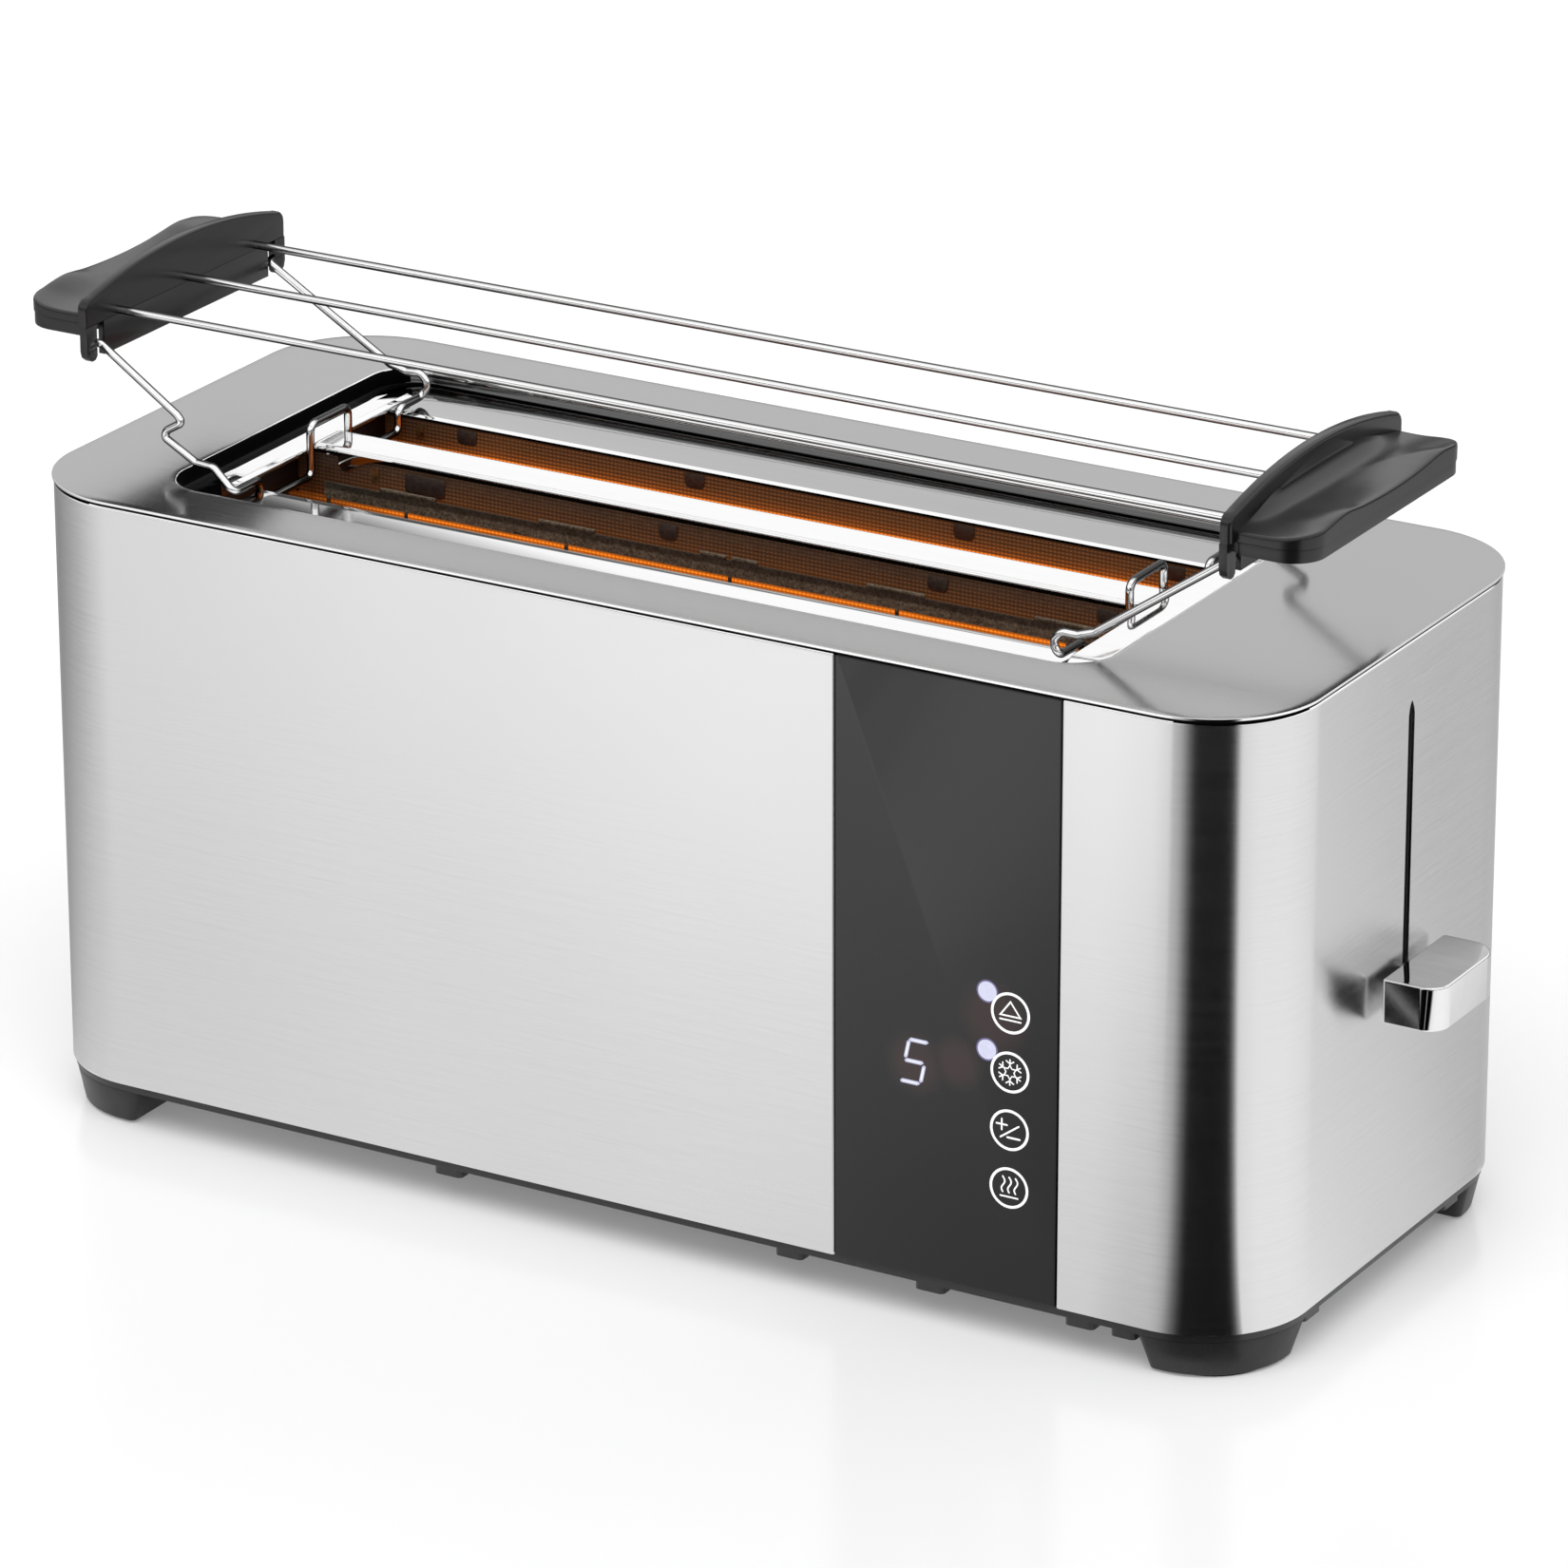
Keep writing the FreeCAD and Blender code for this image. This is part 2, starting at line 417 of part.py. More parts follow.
save("terminal_block", box(148.0, 168.0, 58.0, 70.0, 14.0, 34.0).cut(box(151, 165, 56.0, 62.0, 20.0, 36.0)))
wires = [tube([(144.0, 57.0, 76.0), (144.0, 50.0, 70.0), (150.0, 50.0, 44.0), (154.0, 59.5, 36.0), (154.0, 59.5, 25.0)], 5.0, 2.0),
         tube([(149.0, 57.0, 80.0), (149.0, 46.0, 72.0), (158.0, 46.0, 44.0), (160.0, 59.5, 36.0), (160.0, 59.5, 25.0)], 5.0, 2.0),
         tube([(186.0, 57.0, 74.0), (186.0, 40.0, 60.0), (186.0, -40.0, 50.0), (166.0, -66.0, 52.0), (134.0, -71.5, 52.0)], 9.0, 2.4)]
save("internal_wiring", wires)

# ---------------------------------------------------------------- lever mechanism on the chassis
ROD_X, ROD_MY = 152.0, -14.0
rod = cyl((ROD_X, ROD_MY, 25.0), (0, 0, 1), 3.0, 156.0)
save("guide_rod", rod)
save("guide_rod_brackets", [box(127.5, 158.0, -20.0, -8.0, 181.0, 183.0), box(146.0, 158.0, -20.0, -8.0, 14.0, 25.0)])
MX, MY = 160.0, 8.0
save("electromagnet_core", box(MX - 9, MX + 9, MY - 4, MY + 4, 44.0, 46.0).fuse(box(MX - 9, MX - 6, MY - 4, MY + 4, 46, 62.6)).fuse(
    box(MX + 6, MX + 9, MY - 4, MY + 4, 46, 62.6)).fuse(box(MX - 2.5, MX + 2.5, MY - 3, MY + 3, 46, 62.6)))
coil = box(MX - 5.8, MX + 5.8, MY - 8, MY + 8, 46.2, 59.0).cut(box(MX - 2.6, MX + 2.6, MY - 3.1, MY + 3.1, 40, 65))
save("electromagnet_coil", coil)
save("electromagnet_bracket", box(MX - 11, MX + 11, MY - 6, MY + 6, 42.8, 44.0).fuse(box(MX - 11, MX - 9.8, MY - 6, MY + 6, 15.0, 43.0)).fuse(
    box(MX + 9.8, MX + 11, MY - 6, MY + 6, 15.0, 43.0)).fuse(box(MX - 15, MX + 15, MY - 6, MY + 6, 14.0, 15.2)))
# black guide behind the lever slot
guide = box(196.6, 199.2, LEVER_Y - 9, LEVER_Y + 9, 78.0, 180.0)
guide = guide.cut(box(195, 200, LEVER_Y - 1.75, LEVER_Y + 1.75, 84.5, 173.0))
save("lever_slot_guide", guide)

# ---------------------------------------------------------------- moving carriage
KX0, KX1 = 202.2, 220.0
knob = rrect(KX0, KX1, LEVER_Y - 19.0, LEVER_Y + 19.0, [1.2, 6.5, 9.0, 1.2], LEVER_Z - 6.5, LEVER_Z + 6.5)
knob = try_fillet(knob, 0.8, lambda e: (abs(e.BoundBox.ZMin - e.BoundBox.ZMax) < 1e-3))
knob = knob.cut(box(KX0 - 1, KX0 + 9.0, LEVER_Y - 1.3, LEVER_Y + 1.3, LEVER_Z - 3.5, LEVER_Z + 3.5))
save("lever_knob", knob)
arm = box(160.0, KX0 + 9.0, LEVER_Y - 1.3, LEVER_Y + 1.3, LEVER_Z - 3.5, LEVER_Z + 3.5)
save("lever_arm", arm)
SLZ = 66.5                          # underside of the slider's foot plate, lever down
slider = box(ROD_X - 7, ROD_X + 7, ROD_MY - 7, ROD_MY + 7, SLZ + 4, 104.0)
slider = slider.fuse(box(ROD_X + 1.0, 168.0, ROD_MY + 6.9, LEVER_Y + 4.0, 84.0, 103.0))
slider = slider.cut(box(159.9, 180, LEVER_Y - 1.3, LEVER_Y + 1.3, LEVER_Z - 3.5, LEVER_Z + 3.5))
slider = slider.fuse(box(131.0, ROD_X - 6.9, ROD_MY - 7, ROD_MY + 7, SLZ + 4, SLZ + 12))
slider = slider.fuse(box(131.0, 134.0, -27.0, 27.0, SLZ + 4, SLZ + 12))
slider = slider.fuse(box(ROD_X - 6.0, 172.0, ROD_MY - 7, MY + 8.0, SLZ + 4.0, SLZ + 7.0))
slider = slider.cut(cyl((ROD_X, ROD_MY, 20), (0, 0, 1), 3.05, 180))
save("carriage_slider", slider.removeSplitter())
save("latch_armature", box(MX - 10, MX + 10, MY - 6.5, MY + 6.5, 63.0, 65.4).fuse(cyl((MX, MY, 65.3), (0, 0, 1), 2.5, 5.2)))
for nm, y in (("front_bread_rack", -SLOT_C), ("rear_bread_rack", SLOT_C)):
    # level strip with turned-down edges, and slotted ribs that carry the slice
    r = box(-137.0, 111.0, y - 5.5, y + 5.5, 74.0, 74.8)
    r = r.fuse(box(-137.0, 111.0, y - 0.5, y + 0.5, 70.5, 74.2))
    for i in range(16):
        x = -130.0 + i * 15.6
        r = r.cut(box(x - 3.5, x + 3.5, y - 4.0, y - 1.2, 70, 76)).cut(box(x - 3.5, x + 3.5, y + 1.2, y + 4.0, 70, 76))
    # flat tails run in the chassis slots at both ends
    r = r.fuse(box(110.0, 131.0, y - 0.6, y + 0.6, 70.5, 78.5))
    r = r.fuse(box(-162.0, -136.0, y - 0.6, y + 0.6, 70.5, 76.0))
    save(nm, r.removeSplitter())

# ---------------------------------------------------------------- fixings
scr = []
for sx in (-1, 1):
    for sy in (-1, 1):
        p = cyl((sx * 150.0, sy * 67.0, 10.3), (0, 0, 1), 3.4, 1.4)
        p = p.cut(box(sx * 150.0 - 2.4, sx * 150.0 + 2.4, sy * 67.0 - 0.4, sy * 67.0 + 0.4, 10.0, 11.0))
        p = p.cut(box(sx * 150.0 - 0.4, sx * 150.0 + 0.4, sy * 67.0 - 2.4, sy * 67.0 + 2.4, 10.0, 11.0))
        scr.append(p)
save("base_screws", scr)

# ---------------------------------------------------------------- bun rack: three rods between two handles
rods = [cyl((RACK_C - RACK_U - 6.0, y, ROD_Z), (1, 0, 0), ROD_D / 2, 2 * RACK_U + 12.0) for y in (-ROD_Y, 0.0, ROD_Y)]
save("rack_rods", rods)
SEAM = 229.8
FH = 51.0                            # half length of the fences
FENCE_T = 3.6
FENCE_TOP, FENCE_ARCH, FENCE_R = 244.2, 0.0027, 3.6


def handle(s):
    """Upper and lower shells of one end; s is +1 on the lever end."""
    def X(a, b):
        return sorted((RACK_C + s * a, RACK_C + s * b))
    x0, x1 = X(RACK_U, RACK_U + FENCE_T)
    # fence outline, looking along X
    n, r = 24, FENCE_R
    top = []
    for i in range(n + 1):
        y = -(FH - r) + 2 * (FH - r) * i / n
        top.append(V(x0, y, FENCE_TOP - FENCE_ARCH * y * y))
    bs = Part.BSplineCurve()
    bs.interpolate(top)
    e = [bs.toShape()]
    zt = top[-1].z
    k = math.sqrt(0.5)
    e.append(Part.Arc(V(x0, FH - r, zt), V(x0, FH - r + r * k, zt - r + r * k), V(x0, FH, zt - r)).toShape())
    e.append(Part.LineSegment(V(x0, FH, zt - r), V(x0, FH, SEAM)).toShape())
    e.append(Part.LineSegment(V(x0, FH, SEAM), V(x0, -FH, SEAM)).toShape())
    e.append(Part.LineSegment(V(x0, -FH, SEAM), V(x0, -FH, zt - r)).toShape())
    e.append(Part.Arc(V(x0, -FH, zt - r), V(x0, -FH + r - r * k, zt - r + r * k), V(x0, -FH + r, zt)).toShape())
    fence = Part.Face(Part.Wire(Part.__sortEdges__(e))).extrude(V(x1 - x0, 0, 0))
    fence = try_fillet(fence, 1.2, lambda ed: ed.BoundBox.ZMax > SEAM + 3 and ed.BoundBox.XLength < 0.01 and ed.BoundBox.ZMin > SEAM + 2)
    ga, gb = X(RACK_U + FENCE_T - 0.2, RACK_OUT)
    big, small = 10.0, 0.5
    r = [small, big, big, small] if s > 0 else [big, small, small, big]
    grip = rrect(ga, gb, -48.0, 48.0, r, SEAM, 236.4)
    crown = cyl((ga - 5, 0, 235.9 - 520.0), (1, 0, 0), 520.0, 50.0)
    grip = grip.common(crown)
    up = fence.fuse(grip).removeSplitter()
    xs, _ = X(RACK_U - 2.0, RACK_U + 6.0)
    for y in (-ROD_Y, 0.0, ROD_Y):
        up = up.cut(cyl((xs, y, ROD_Z), (1, 0, 0), ROD_D / 2, 8.0))
    ga, gb = X(RACK_U + FENCE_T + 0.3, RACK_OUT - 0.3)
    r = [small, big - 0.3, big - 0.3, small] if s > 0 else [big - 0.3, small, small, big - 0.3]
    low = rrect(ga, gb, -47.7, 47.7, r, 226.2, SEAM)
    # skirt below the fence's inner face, with the web that carries it
    xa, xb = X(RACK_U + 0.2, RACK_U + 2.2)
    low = low.fuse(box(xa, xb, -42.2, 42.2, 219.8, SEAM))
    xa, xb = X(RACK_U + 0.2, RACK_U + FENCE_T + 0.6)
    low = low.fuse(box(xa, xb, -42.2, 42.2, 227.0, SEAM))
    for sy in (-1, 1):
        # lugs in the fence's plane, a wire's width away from the skirt
        ya, yb, yc, yd, ye = (sy * v for v in (45.9, 46.9, 48.5, 50.4, 51.0))
        xa, xb = X(RACK_U + 0.1, RACK_U + 2.5)
        lug = Part.Face(Part.makePolygon([V(xa, ya, SEAM), V(xa, ya, 220.4), V(xa, yb, 219.4), V(xa, yc, 219.3), V(xa, yd, 220.7), V(xa, ye, 222.6),
                                          V(xa, ye, SEAM), V(xa, ya, SEAM)])).extrude(V(xb - xa, 0, 0))
        lug = lug.cut(cyl((RACK_C + s * PIVOT_U, sy * 45.8, PIVOT_Z), (0, sy, 0), 1.25, 3.7))
        xc, xd = X(RACK_U + 1.6, RACK_U + FENCE_T + 0.6)
        yp, yq = sorted((sy * 45.9, sy * 47.8))
        low = low.fuse(lug).fuse(box(xc, xd, yp, yq, 227.0, SEAM))
    return up, low.removeSplitter()


for s, side in ((-1, "left"), (1, "right")):
    up, low = handle(s)
    save(side + "_handle_upper", up)
    save(side + "_handle_lower", low)

hs = []
for s in (-1, 1):
    for y in (-24.0, 24.0):
        px = RACK_C + s * 192.0
        p = cyl((px, y, 225.0), (0, 0, 1), 2.6, 1.2)
        p = p.cut(box(px - 1.8, px + 1.8, y - 0.35, y + 0.35, 224.6, 225.5)).cut(box(px - 0.35, px + 0.35, y - 1.8, y + 1.8, 224.6, 225.5))
        hs.append(p)
save("handle_screws", hs)

# ---------------------------------------------------------------- folding leg wires
# (u outward from the rack's middle, y, z): one leg has a kink, the other is plain; the same
# wire form serves both ends, turned half a turn.
KINK = [(154.1, -47.0, 207.6), (152.2, -47.2, 205.6), (157.6, -47.5, 202.4), (157.9, -47.8, 200.4), (146.8, -48.6, 194.9),
        (140.4, -49.2, 194.7), (136.6, -49.6, 191.6), (133.3, -49.9, 188.7)]
PLAIN = [(158.0, -46.8, 206.9), (143.6, -48.6, 197.0), (138.6, -49.2, 195.5), (133.9, -49.6, 195.7), (131.3, -49.8, 192.6),
         (133.3, -49.9, 188.9)]
LOW = 181.5
UF = 133.5


def leg_points(front, rear):
    """One wire from the pivot in the front lug to the pivot in the rear lug; front and rear are leg lists at y < 0."""
    a = [(PIVOT_U, -49.4, PIVOT_Z), (PIVOT_U, -43.6, PIVOT_Z)] + front + [(UF, -48.9, 188.65)]
    a += [(UF, -36.4, 188.65), (UF, -36.4, LOW), (UF, -9.9, LOW), (UF, -9.9, 197.2)]
    b = [(u, -y, z) for u, y, z in ([(PIVOT_U, -49.4, PIVOT_Z), (PIVOT_U, -43.6, PIVOT_Z)] + rear + [(UF, -48.9, 188.65)]
                                    + [(UF, -36.4, 188.65), (UF, -36.4, LOW), (UF, -9.9, LOW), (UF, -9.9, 197.2)])]
    return a + b[::-1]


def leg_wire(s):
    pts = leg_points(KINK, PLAIN) if s < 0 else leg_points(PLAIN, KINK)
    # drop the point that only repeats the foot
    out = []
    for p in pts:
        if out and math.dist(out[-1], p) < 1.35:
            continue
        out.append(p)
    return [(RACK_C + s * u, y, z) for u, y, z in out]


for s, side in ((-1, "left"), (1, "right")):
    P = leg_wire(s)
    save(side + "_leg_wire", tube(P, [1.8] + [2.6] * (len(P) - 4) + [1.8], WIRE_D))

print("nodes", len([f for f in os.listdir("parts") if f.endswith(".step")]))
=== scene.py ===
import math

import bpy
import bmesh
import numpy as np
from mathutils import Vector, Matrix
from mathutils.geometry import delaunay_2d_cdt


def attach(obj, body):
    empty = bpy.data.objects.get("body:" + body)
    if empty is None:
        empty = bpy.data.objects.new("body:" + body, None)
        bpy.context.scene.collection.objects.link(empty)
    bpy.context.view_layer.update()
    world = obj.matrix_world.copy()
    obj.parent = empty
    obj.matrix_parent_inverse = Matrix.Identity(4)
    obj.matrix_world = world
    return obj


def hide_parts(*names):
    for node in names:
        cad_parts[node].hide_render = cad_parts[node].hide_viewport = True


# Looks of a two-long-slot toaster with a bun rack. Lengths in this file are millimetres until a
# mesh is made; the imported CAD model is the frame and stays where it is.
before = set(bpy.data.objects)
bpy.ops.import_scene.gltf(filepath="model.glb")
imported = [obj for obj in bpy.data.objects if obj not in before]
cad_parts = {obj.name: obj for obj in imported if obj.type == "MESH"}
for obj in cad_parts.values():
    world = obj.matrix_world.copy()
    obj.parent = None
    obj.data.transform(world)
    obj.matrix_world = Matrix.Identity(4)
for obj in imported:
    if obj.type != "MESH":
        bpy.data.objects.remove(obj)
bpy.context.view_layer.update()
scene = bpy.context.scene
MM = 0.001

# ------------------------------------------------------------------ sizes shared with the CAD
BODY_L, BODY_W, CORNER_R, SLEEVE_T = 400.0, 168.0, 32.2, 0.7
Z_BOT, Z_TOP = 14.0, 191.0
PLATE_OVER, PLATE_Z0, PLATE_Z1 = 0.5, 191.7, 192.5
REC_X0, REC_X1, REC_HY, REC_R = -162.6, 136.8, 62.3, 13.0
SLOT_X0, SLOT_X1, SLOT_IN, SLOT_OUT = -153.5, 123.5, 6.2, 38.4
FRAME_HI, FRAME_LO = 187.7, 186.35
BRIDGE_X0, BRIDGE_X1, BRIDGE_HY, BRIDGE_Z = -148.2, 125.1, 7.4, 190.7
END_X0, END_X1 = 125.2, 135.3
LEFT_X0, LEFT_X1, LEFT_Z = -157.0, -148.4, 189.5
PANEL_X0, PANEL_X1 = 70.6, 139.6
LEVER_Y, LEVER_Z = 4.0, 92.6
RACK_C, RACK_U, RACK_OUT = -13.0, 181.6, 207.0
SEAM, FH, FENCE_T = 229.8, 51.0, 3.6
FENCE_TOP, FENCE_ARCH, FENCE_R = 244.2, 0.0027, 3.6
ICON_X, ICON_Z = 125.2, (97.9, 80.6, 63.6, 46.5)
LED_X, LED_Z = 118.3, (102.8, 85.8)


# ------------------------------------------------------------------ materials
def new_mat(name):
    m = bpy.data.materials.new(name)
    m.use_nodes = True
    nt = m.node_tree
    nt.nodes.clear()
    out = nt.nodes.new("ShaderNodeOutputMaterial")
    b = nt.nodes.new("ShaderNodeBsdfPrincipled")
    nt.links.new(b.outputs[0], out.inputs[0])
    return m, nt, b


def coords(nt, scale, rot=(0, 0, 0)):
    tc = nt.nodes.new("ShaderNodeTexCoord")
    mp = nt.nodes.new("ShaderNodeMapping")
    mp.inputs["Scale"].default_value = scale
    mp.inputs["Rotation"].default_value = rot
    nt.links.new(tc.outputs["Object"], mp.inputs["Vector"])
    return mp.outputs[0]


def noise(nt, scale, size=1.0, detail=3.0, rough=0.6, distort=0.0):
    n = nt.nodes.new("ShaderNodeTexNoise")
    n.inputs["Scale"].default_value = size
    n.inputs["Detail"].default_value = detail
    n.inputs["Roughness"].default_value = rough
    n.inputs["Distortion"].default_value = distort
    nt.links.new(coords(nt, scale), n.inputs["Vector"])
    return n.outputs["Fac"]


def ramp(nt, fac, stops, mode="LINEAR"):
    r = nt.nodes.new("ShaderNodeValToRGB")
    r.color_ramp.interpolation = mode
    el = r.color_ramp.elements
    while len(el) > 1:
        el.remove(el[-1])
    el[0].position = stops[0][0]
    el[0].color = (*stops[0][1], 1)
    for p, c in stops[1:]:
        e = el.new(p)
        e.color = (*c, 1)
    nt.links.new(fac, r.inputs["Fac"])
    return r.outputs["Color"]


def remap(nt, fac, a, b, lo=0.0, hi=1.0, smooth=False):
    m = nt.nodes.new("ShaderNodeMapRange")
    m.interpolation_type = "SMOOTHSTEP" if smooth else "LINEAR"
    m.inputs["From Min"].default_value = lo
    m.inputs["From Max"].default_value = hi
    m.inputs["To Min"].default_value = a
    m.inputs["To Max"].default_value = b
    nt.links.new(fac, m.inputs["Value"])
    return m.outputs["Result"]


def math_node(nt, op, a, b=None, clamp=False):
    m = nt.nodes.new("ShaderNodeMath")
    m.operation = op
    m.use_clamp = clamp
    for i, v in enumerate((a, b)):
        if v is None:
            continue
        if isinstance(v, (int, float)):
            m.inputs[i].default_value = v
        else:
            nt.links.new(v, m.inputs[i])
    return m.outputs[0]


def mix_col(nt, fac, a, b):
    m = nt.nodes.new("ShaderNodeMix")
    m.data_type = "RGBA"
    for sock, v in ((m.inputs[0], fac), (m.inputs[6], a), (m.inputs[7], b)):
        if isinstance(v, (int, float)):
            sock.default_value = v
        elif isinstance(v, (tuple, list)):
            sock.default_value = (*v, 1)
        else:
            nt.links.new(v, sock)
    return m.outputs[2]


def bump(nt, b, height, strength, dist=0.0002):
    n = nt.nodes.new("ShaderNodeBump")
    n.inputs["Strength"].default_value = strength
    n.inputs["Distance"].default_value = dist
    nt.links.new(height, n.inputs["Height"])
    nt.links.new(n.outputs[0], b.inputs["Normal"])


def grey(v):
    return (v, v, v)


def tint(c, k):
    return tuple(x * k for x in c)


def object_axis(nt, axis):
    tc = nt.nodes.new("ShaderNodeTexCoord")
    sp = nt.nodes.new("ShaderNodeSeparateXYZ")
    nt.links.new(tc.outputs["Object"], sp.inputs[0])
    return sp.outputs[axis]


def brushed(name, base, rough, lines, fine, aniso=0.0, radial=True, vary=0.05, strength=0.12):
    """Brushed sheet steel: two sizes of drawn-out grain in colour, gloss and height."""
    m, nt, b = new_mat(name)
    b.inputs["Metallic"].default_value = 1.0
    g1 = noise(nt, lines, 1.0, 4.0, 0.65)
    g2 = noise(nt, fine, 1.0, 3.0, 0.7)
    g = math_node(nt, "ADD", math_node(nt, "MULTIPLY", g1, 0.55), math_node(nt, "MULTIPLY", g2, 0.45))
    cloud = noise(nt, (9, 9, 9), 1.0, 2.0, 0.5)
    c = ramp(nt, g, [(0.3, tint(base, 1 - vary)), (0.5, base), (0.72, tint(base, 1 + vary * 0.8))])
    c2 = ramp(nt, cloud, [(0.35, grey(0.975)), (0.65, grey(1.0))])
    mul = nt.nodes.new("ShaderNodeMix")
    mul.data_type = "RGBA"
    mul.blend_type = "MULTIPLY"
    mul.inputs[0].default_value = 1.0
    nt.links.new(c, mul.inputs[6])
    nt.links.new(c2, mul.inputs[7])
    nt.links.new(mul.outputs[2], b.inputs["Base Color"])
    nt.links.new(remap(nt, g, rough - 0.05, rough + 0.05, 0.3, 0.7), b.inputs["Roughness"])
    if aniso:
        b.inputs["Anisotropic"].default_value = aniso
        b.inputs["Anisotropic Rotation"].default_value = 0.25
        t = nt.nodes.new("ShaderNodeTangent")
        t.direction_type = "RADIAL"
        t.axis = "Z"
        nt.links.new(t.outputs[0], b.inputs["Tangent"])
    bump(nt, b, g, strength, 0.00004)
    return m


def polished(name, base, rough, vary=0.03):
    """Bright polished steel: faint rub marks in its gloss."""
    m, nt, b = new_mat(name)
    b.inputs["Metallic"].default_value = 1.0
    n = noise(nt, (35, 260, 260), 1.0, 3.0, 0.6)
    nt.links.new(ramp(nt, n, [(0.3, tint(base, 1 - vary)), (0.7, base)]), b.inputs["Base Color"])
    nt.links.new(remap(nt, n, rough * 0.75, rough * 1.4, 0.3, 0.7), b.inputs["Roughness"])
    bump(nt, b, noise(nt, (60, 60, 60), 1.0, 1.0), 0.02, 0.0002)
    return m


def sheet_metal(name, base, rough, spangle=160, vary=0.14, metallic=1.0):
    m, nt, b = new_mat(name)
    b.inputs["Metallic"].default_value = metallic
    v = nt.nodes.new("ShaderNodeTexVoronoi")
    v.inputs["Scale"].default_value = spangle
    nt.links.new(coords(nt, (1, 1, 1)), v.inputs["Vector"])
    n = noise(nt, (700, 700, 700), 1.0, 2.0)
    f = math_node(nt, "ADD", math_node(nt, "MULTIPLY", v.outputs["Distance"], 0.7), math_node(nt, "MULTIPLY", n, 0.4))
    nt.links.new(ramp(nt, f, [(0.2, tint(base, 1 - vary)), (0.8, tint(base, 1 + vary))]), b.inputs["Base Color"])
    nt.links.new(remap(nt, f, rough - 0.07, rough + 0.08, 0.2, 0.8), b.inputs["Roughness"])
    bump(nt, b, n, 0.08, 0.0001)
    return m


def plastic(name, base, rough, grain=1400, depth=0.25, vary=0.18, spec=0.5, coat=0.0, rub=0.06):
    """Moulded plastic: fine spark-eroded grain, slightly uneven gloss, a little wear in patches."""
    m, nt, b = new_mat(name)
    n = noise(nt, (grain, grain, grain), 1.0, 2.0, 0.5)
    cl = noise(nt, (26, 26, 26), 1.0, 3.0, 0.55)
    c = ramp(nt, n, [(0.3, tint(base, 1 - vary)), (0.7, tint(base, 1 + vary))])
    nt.links.new(c, b.inputs["Base Color"])
    nt.links.new(remap(nt, cl, rough - rub, rough + rub, 0.3, 0.7), b.inputs["Roughness"])
    b.inputs["Specular IOR Level"].default_value = spec
    if coat:
        b.inputs["Coat Weight"].default_value = coat
        b.inputs["Coat Roughness"].default_value = 0.06
    bump(nt, b, n, depth, 0.00006)
    return m


def glow(name, colour, strength, base=(0.8, 0.8, 0.85)):
    """A lit, slightly uneven diffuser."""
    m, nt, b = new_mat(name)
    n = noise(nt, (900, 900, 900), 1.0, 2.0, 0.6)
    b.inputs["Base Color"].default_value = (*base, 1)
    b.inputs["Roughness"].default_value = 0.5
    nt.links.new(ramp(nt, n, [(0.3, tint(colour, 0.9)), (0.7, colour)]), b.inputs["Emission Color"])
    b.inputs["Emission Strength"].default_value = strength
    nt.links.new(remap(nt, n, 0.4, 0.6, 0.3, 0.7), b.inputs["Roughness"])
    return m


M = {}
M["steel_side"] = brushed("brushed_steel_side", (0.75, 0.75, 0.75), 0.22, (26, 26, 1500), (120, 120, 5200), aniso=0.9,
                          vary=0.055, strength=0.10)
# painted shade: the top plate's steel has a darker base than the sides, standing for the darker reflection it shows
M["steel_top"] = brushed("brushed_steel_top", (0.37, 0.37, 0.37), 0.15, (26, 1500, 26), (120, 5200, 120), vary=0.03, strength=0.05)
M["polished"] = polished("polished_steel", (0.90, 0.90, 0.90), 0.055)
# painted highlight: a brighter polished steel for the bright lines along the sleeve's top edge and the plate's rims
M["rim"] = polished("rim_painted_highlight", (0.97, 0.97, 0.97), 0.06)
# painted shade: a darker polished steel for steel that sits down in the recess
M["skirt"] = polished("recess_skirt_painted_shade", (0.30, 0.30, 0.30), 0.12)
M["knob"] = polished("polished_knob", (0.86, 0.86, 0.86), 0.03)
# painted shade: a darker copy of the knob's steel for its flat top
M["knob_top"] = polished("knob_top_painted_shade", (0.46, 0.46, 0.46), 0.04, vary=0.10)
# painted shade: the chassis plates inside the body are near-black so that the inside reads as shade
M["shade_painted_sheet"] = sheet_metal("shade_painted_sheet", (0.035, 0.034, 0.033), 0.5, spangle=400, metallic=0.6)
M["zinc"] = sheet_metal("zinc_sheet", (0.42, 0.42, 0.42), 0.38)
M["screw"] = sheet_metal("screw_steel", (0.55, 0.55, 0.56), 0.3, spangle=900)
M["clip"] = sheet_metal("dark_clip", (0.075, 0.055, 0.045), 0.45, spangle=700, metallic=0.8)
M["brass"] = sheet_metal("brass_terminal", (0.62, 0.43, 0.18), 0.3, spangle=700)
M["copper"] = sheet_metal("copper_coil", (0.62, 0.27, 0.13), 0.34, spangle=60)
M["black"] = plastic("black_plastic", (0.014, 0.014, 0.0145), 0.36)
# painted shade: a darker, less glossy copy of the black plastic for the wall of the recess
M["wall"] = plastic("black_wall_painted_shade", (0.006, 0.006, 0.0062), 0.5, spec=0.18)
M["foot"] = plastic("foot_plastic", (0.016, 0.016, 0.0165), 0.42, spec=0.4)
M["rubber"] = plastic("foot_rubber", (0.02, 0.02, 0.02), 0.75, grain=900, depth=0.5, spec=0.3)
M["handle"] = plastic("handle_plastic", (0.006, 0.006, 0.0062), 0.235, grain=1700, depth=0.07, spec=0.5, rub=0.03)
M["gap"] = plastic("shadow_gap", (0.0012, 0.0012, 0.0012), 0.7, spec=0.02)
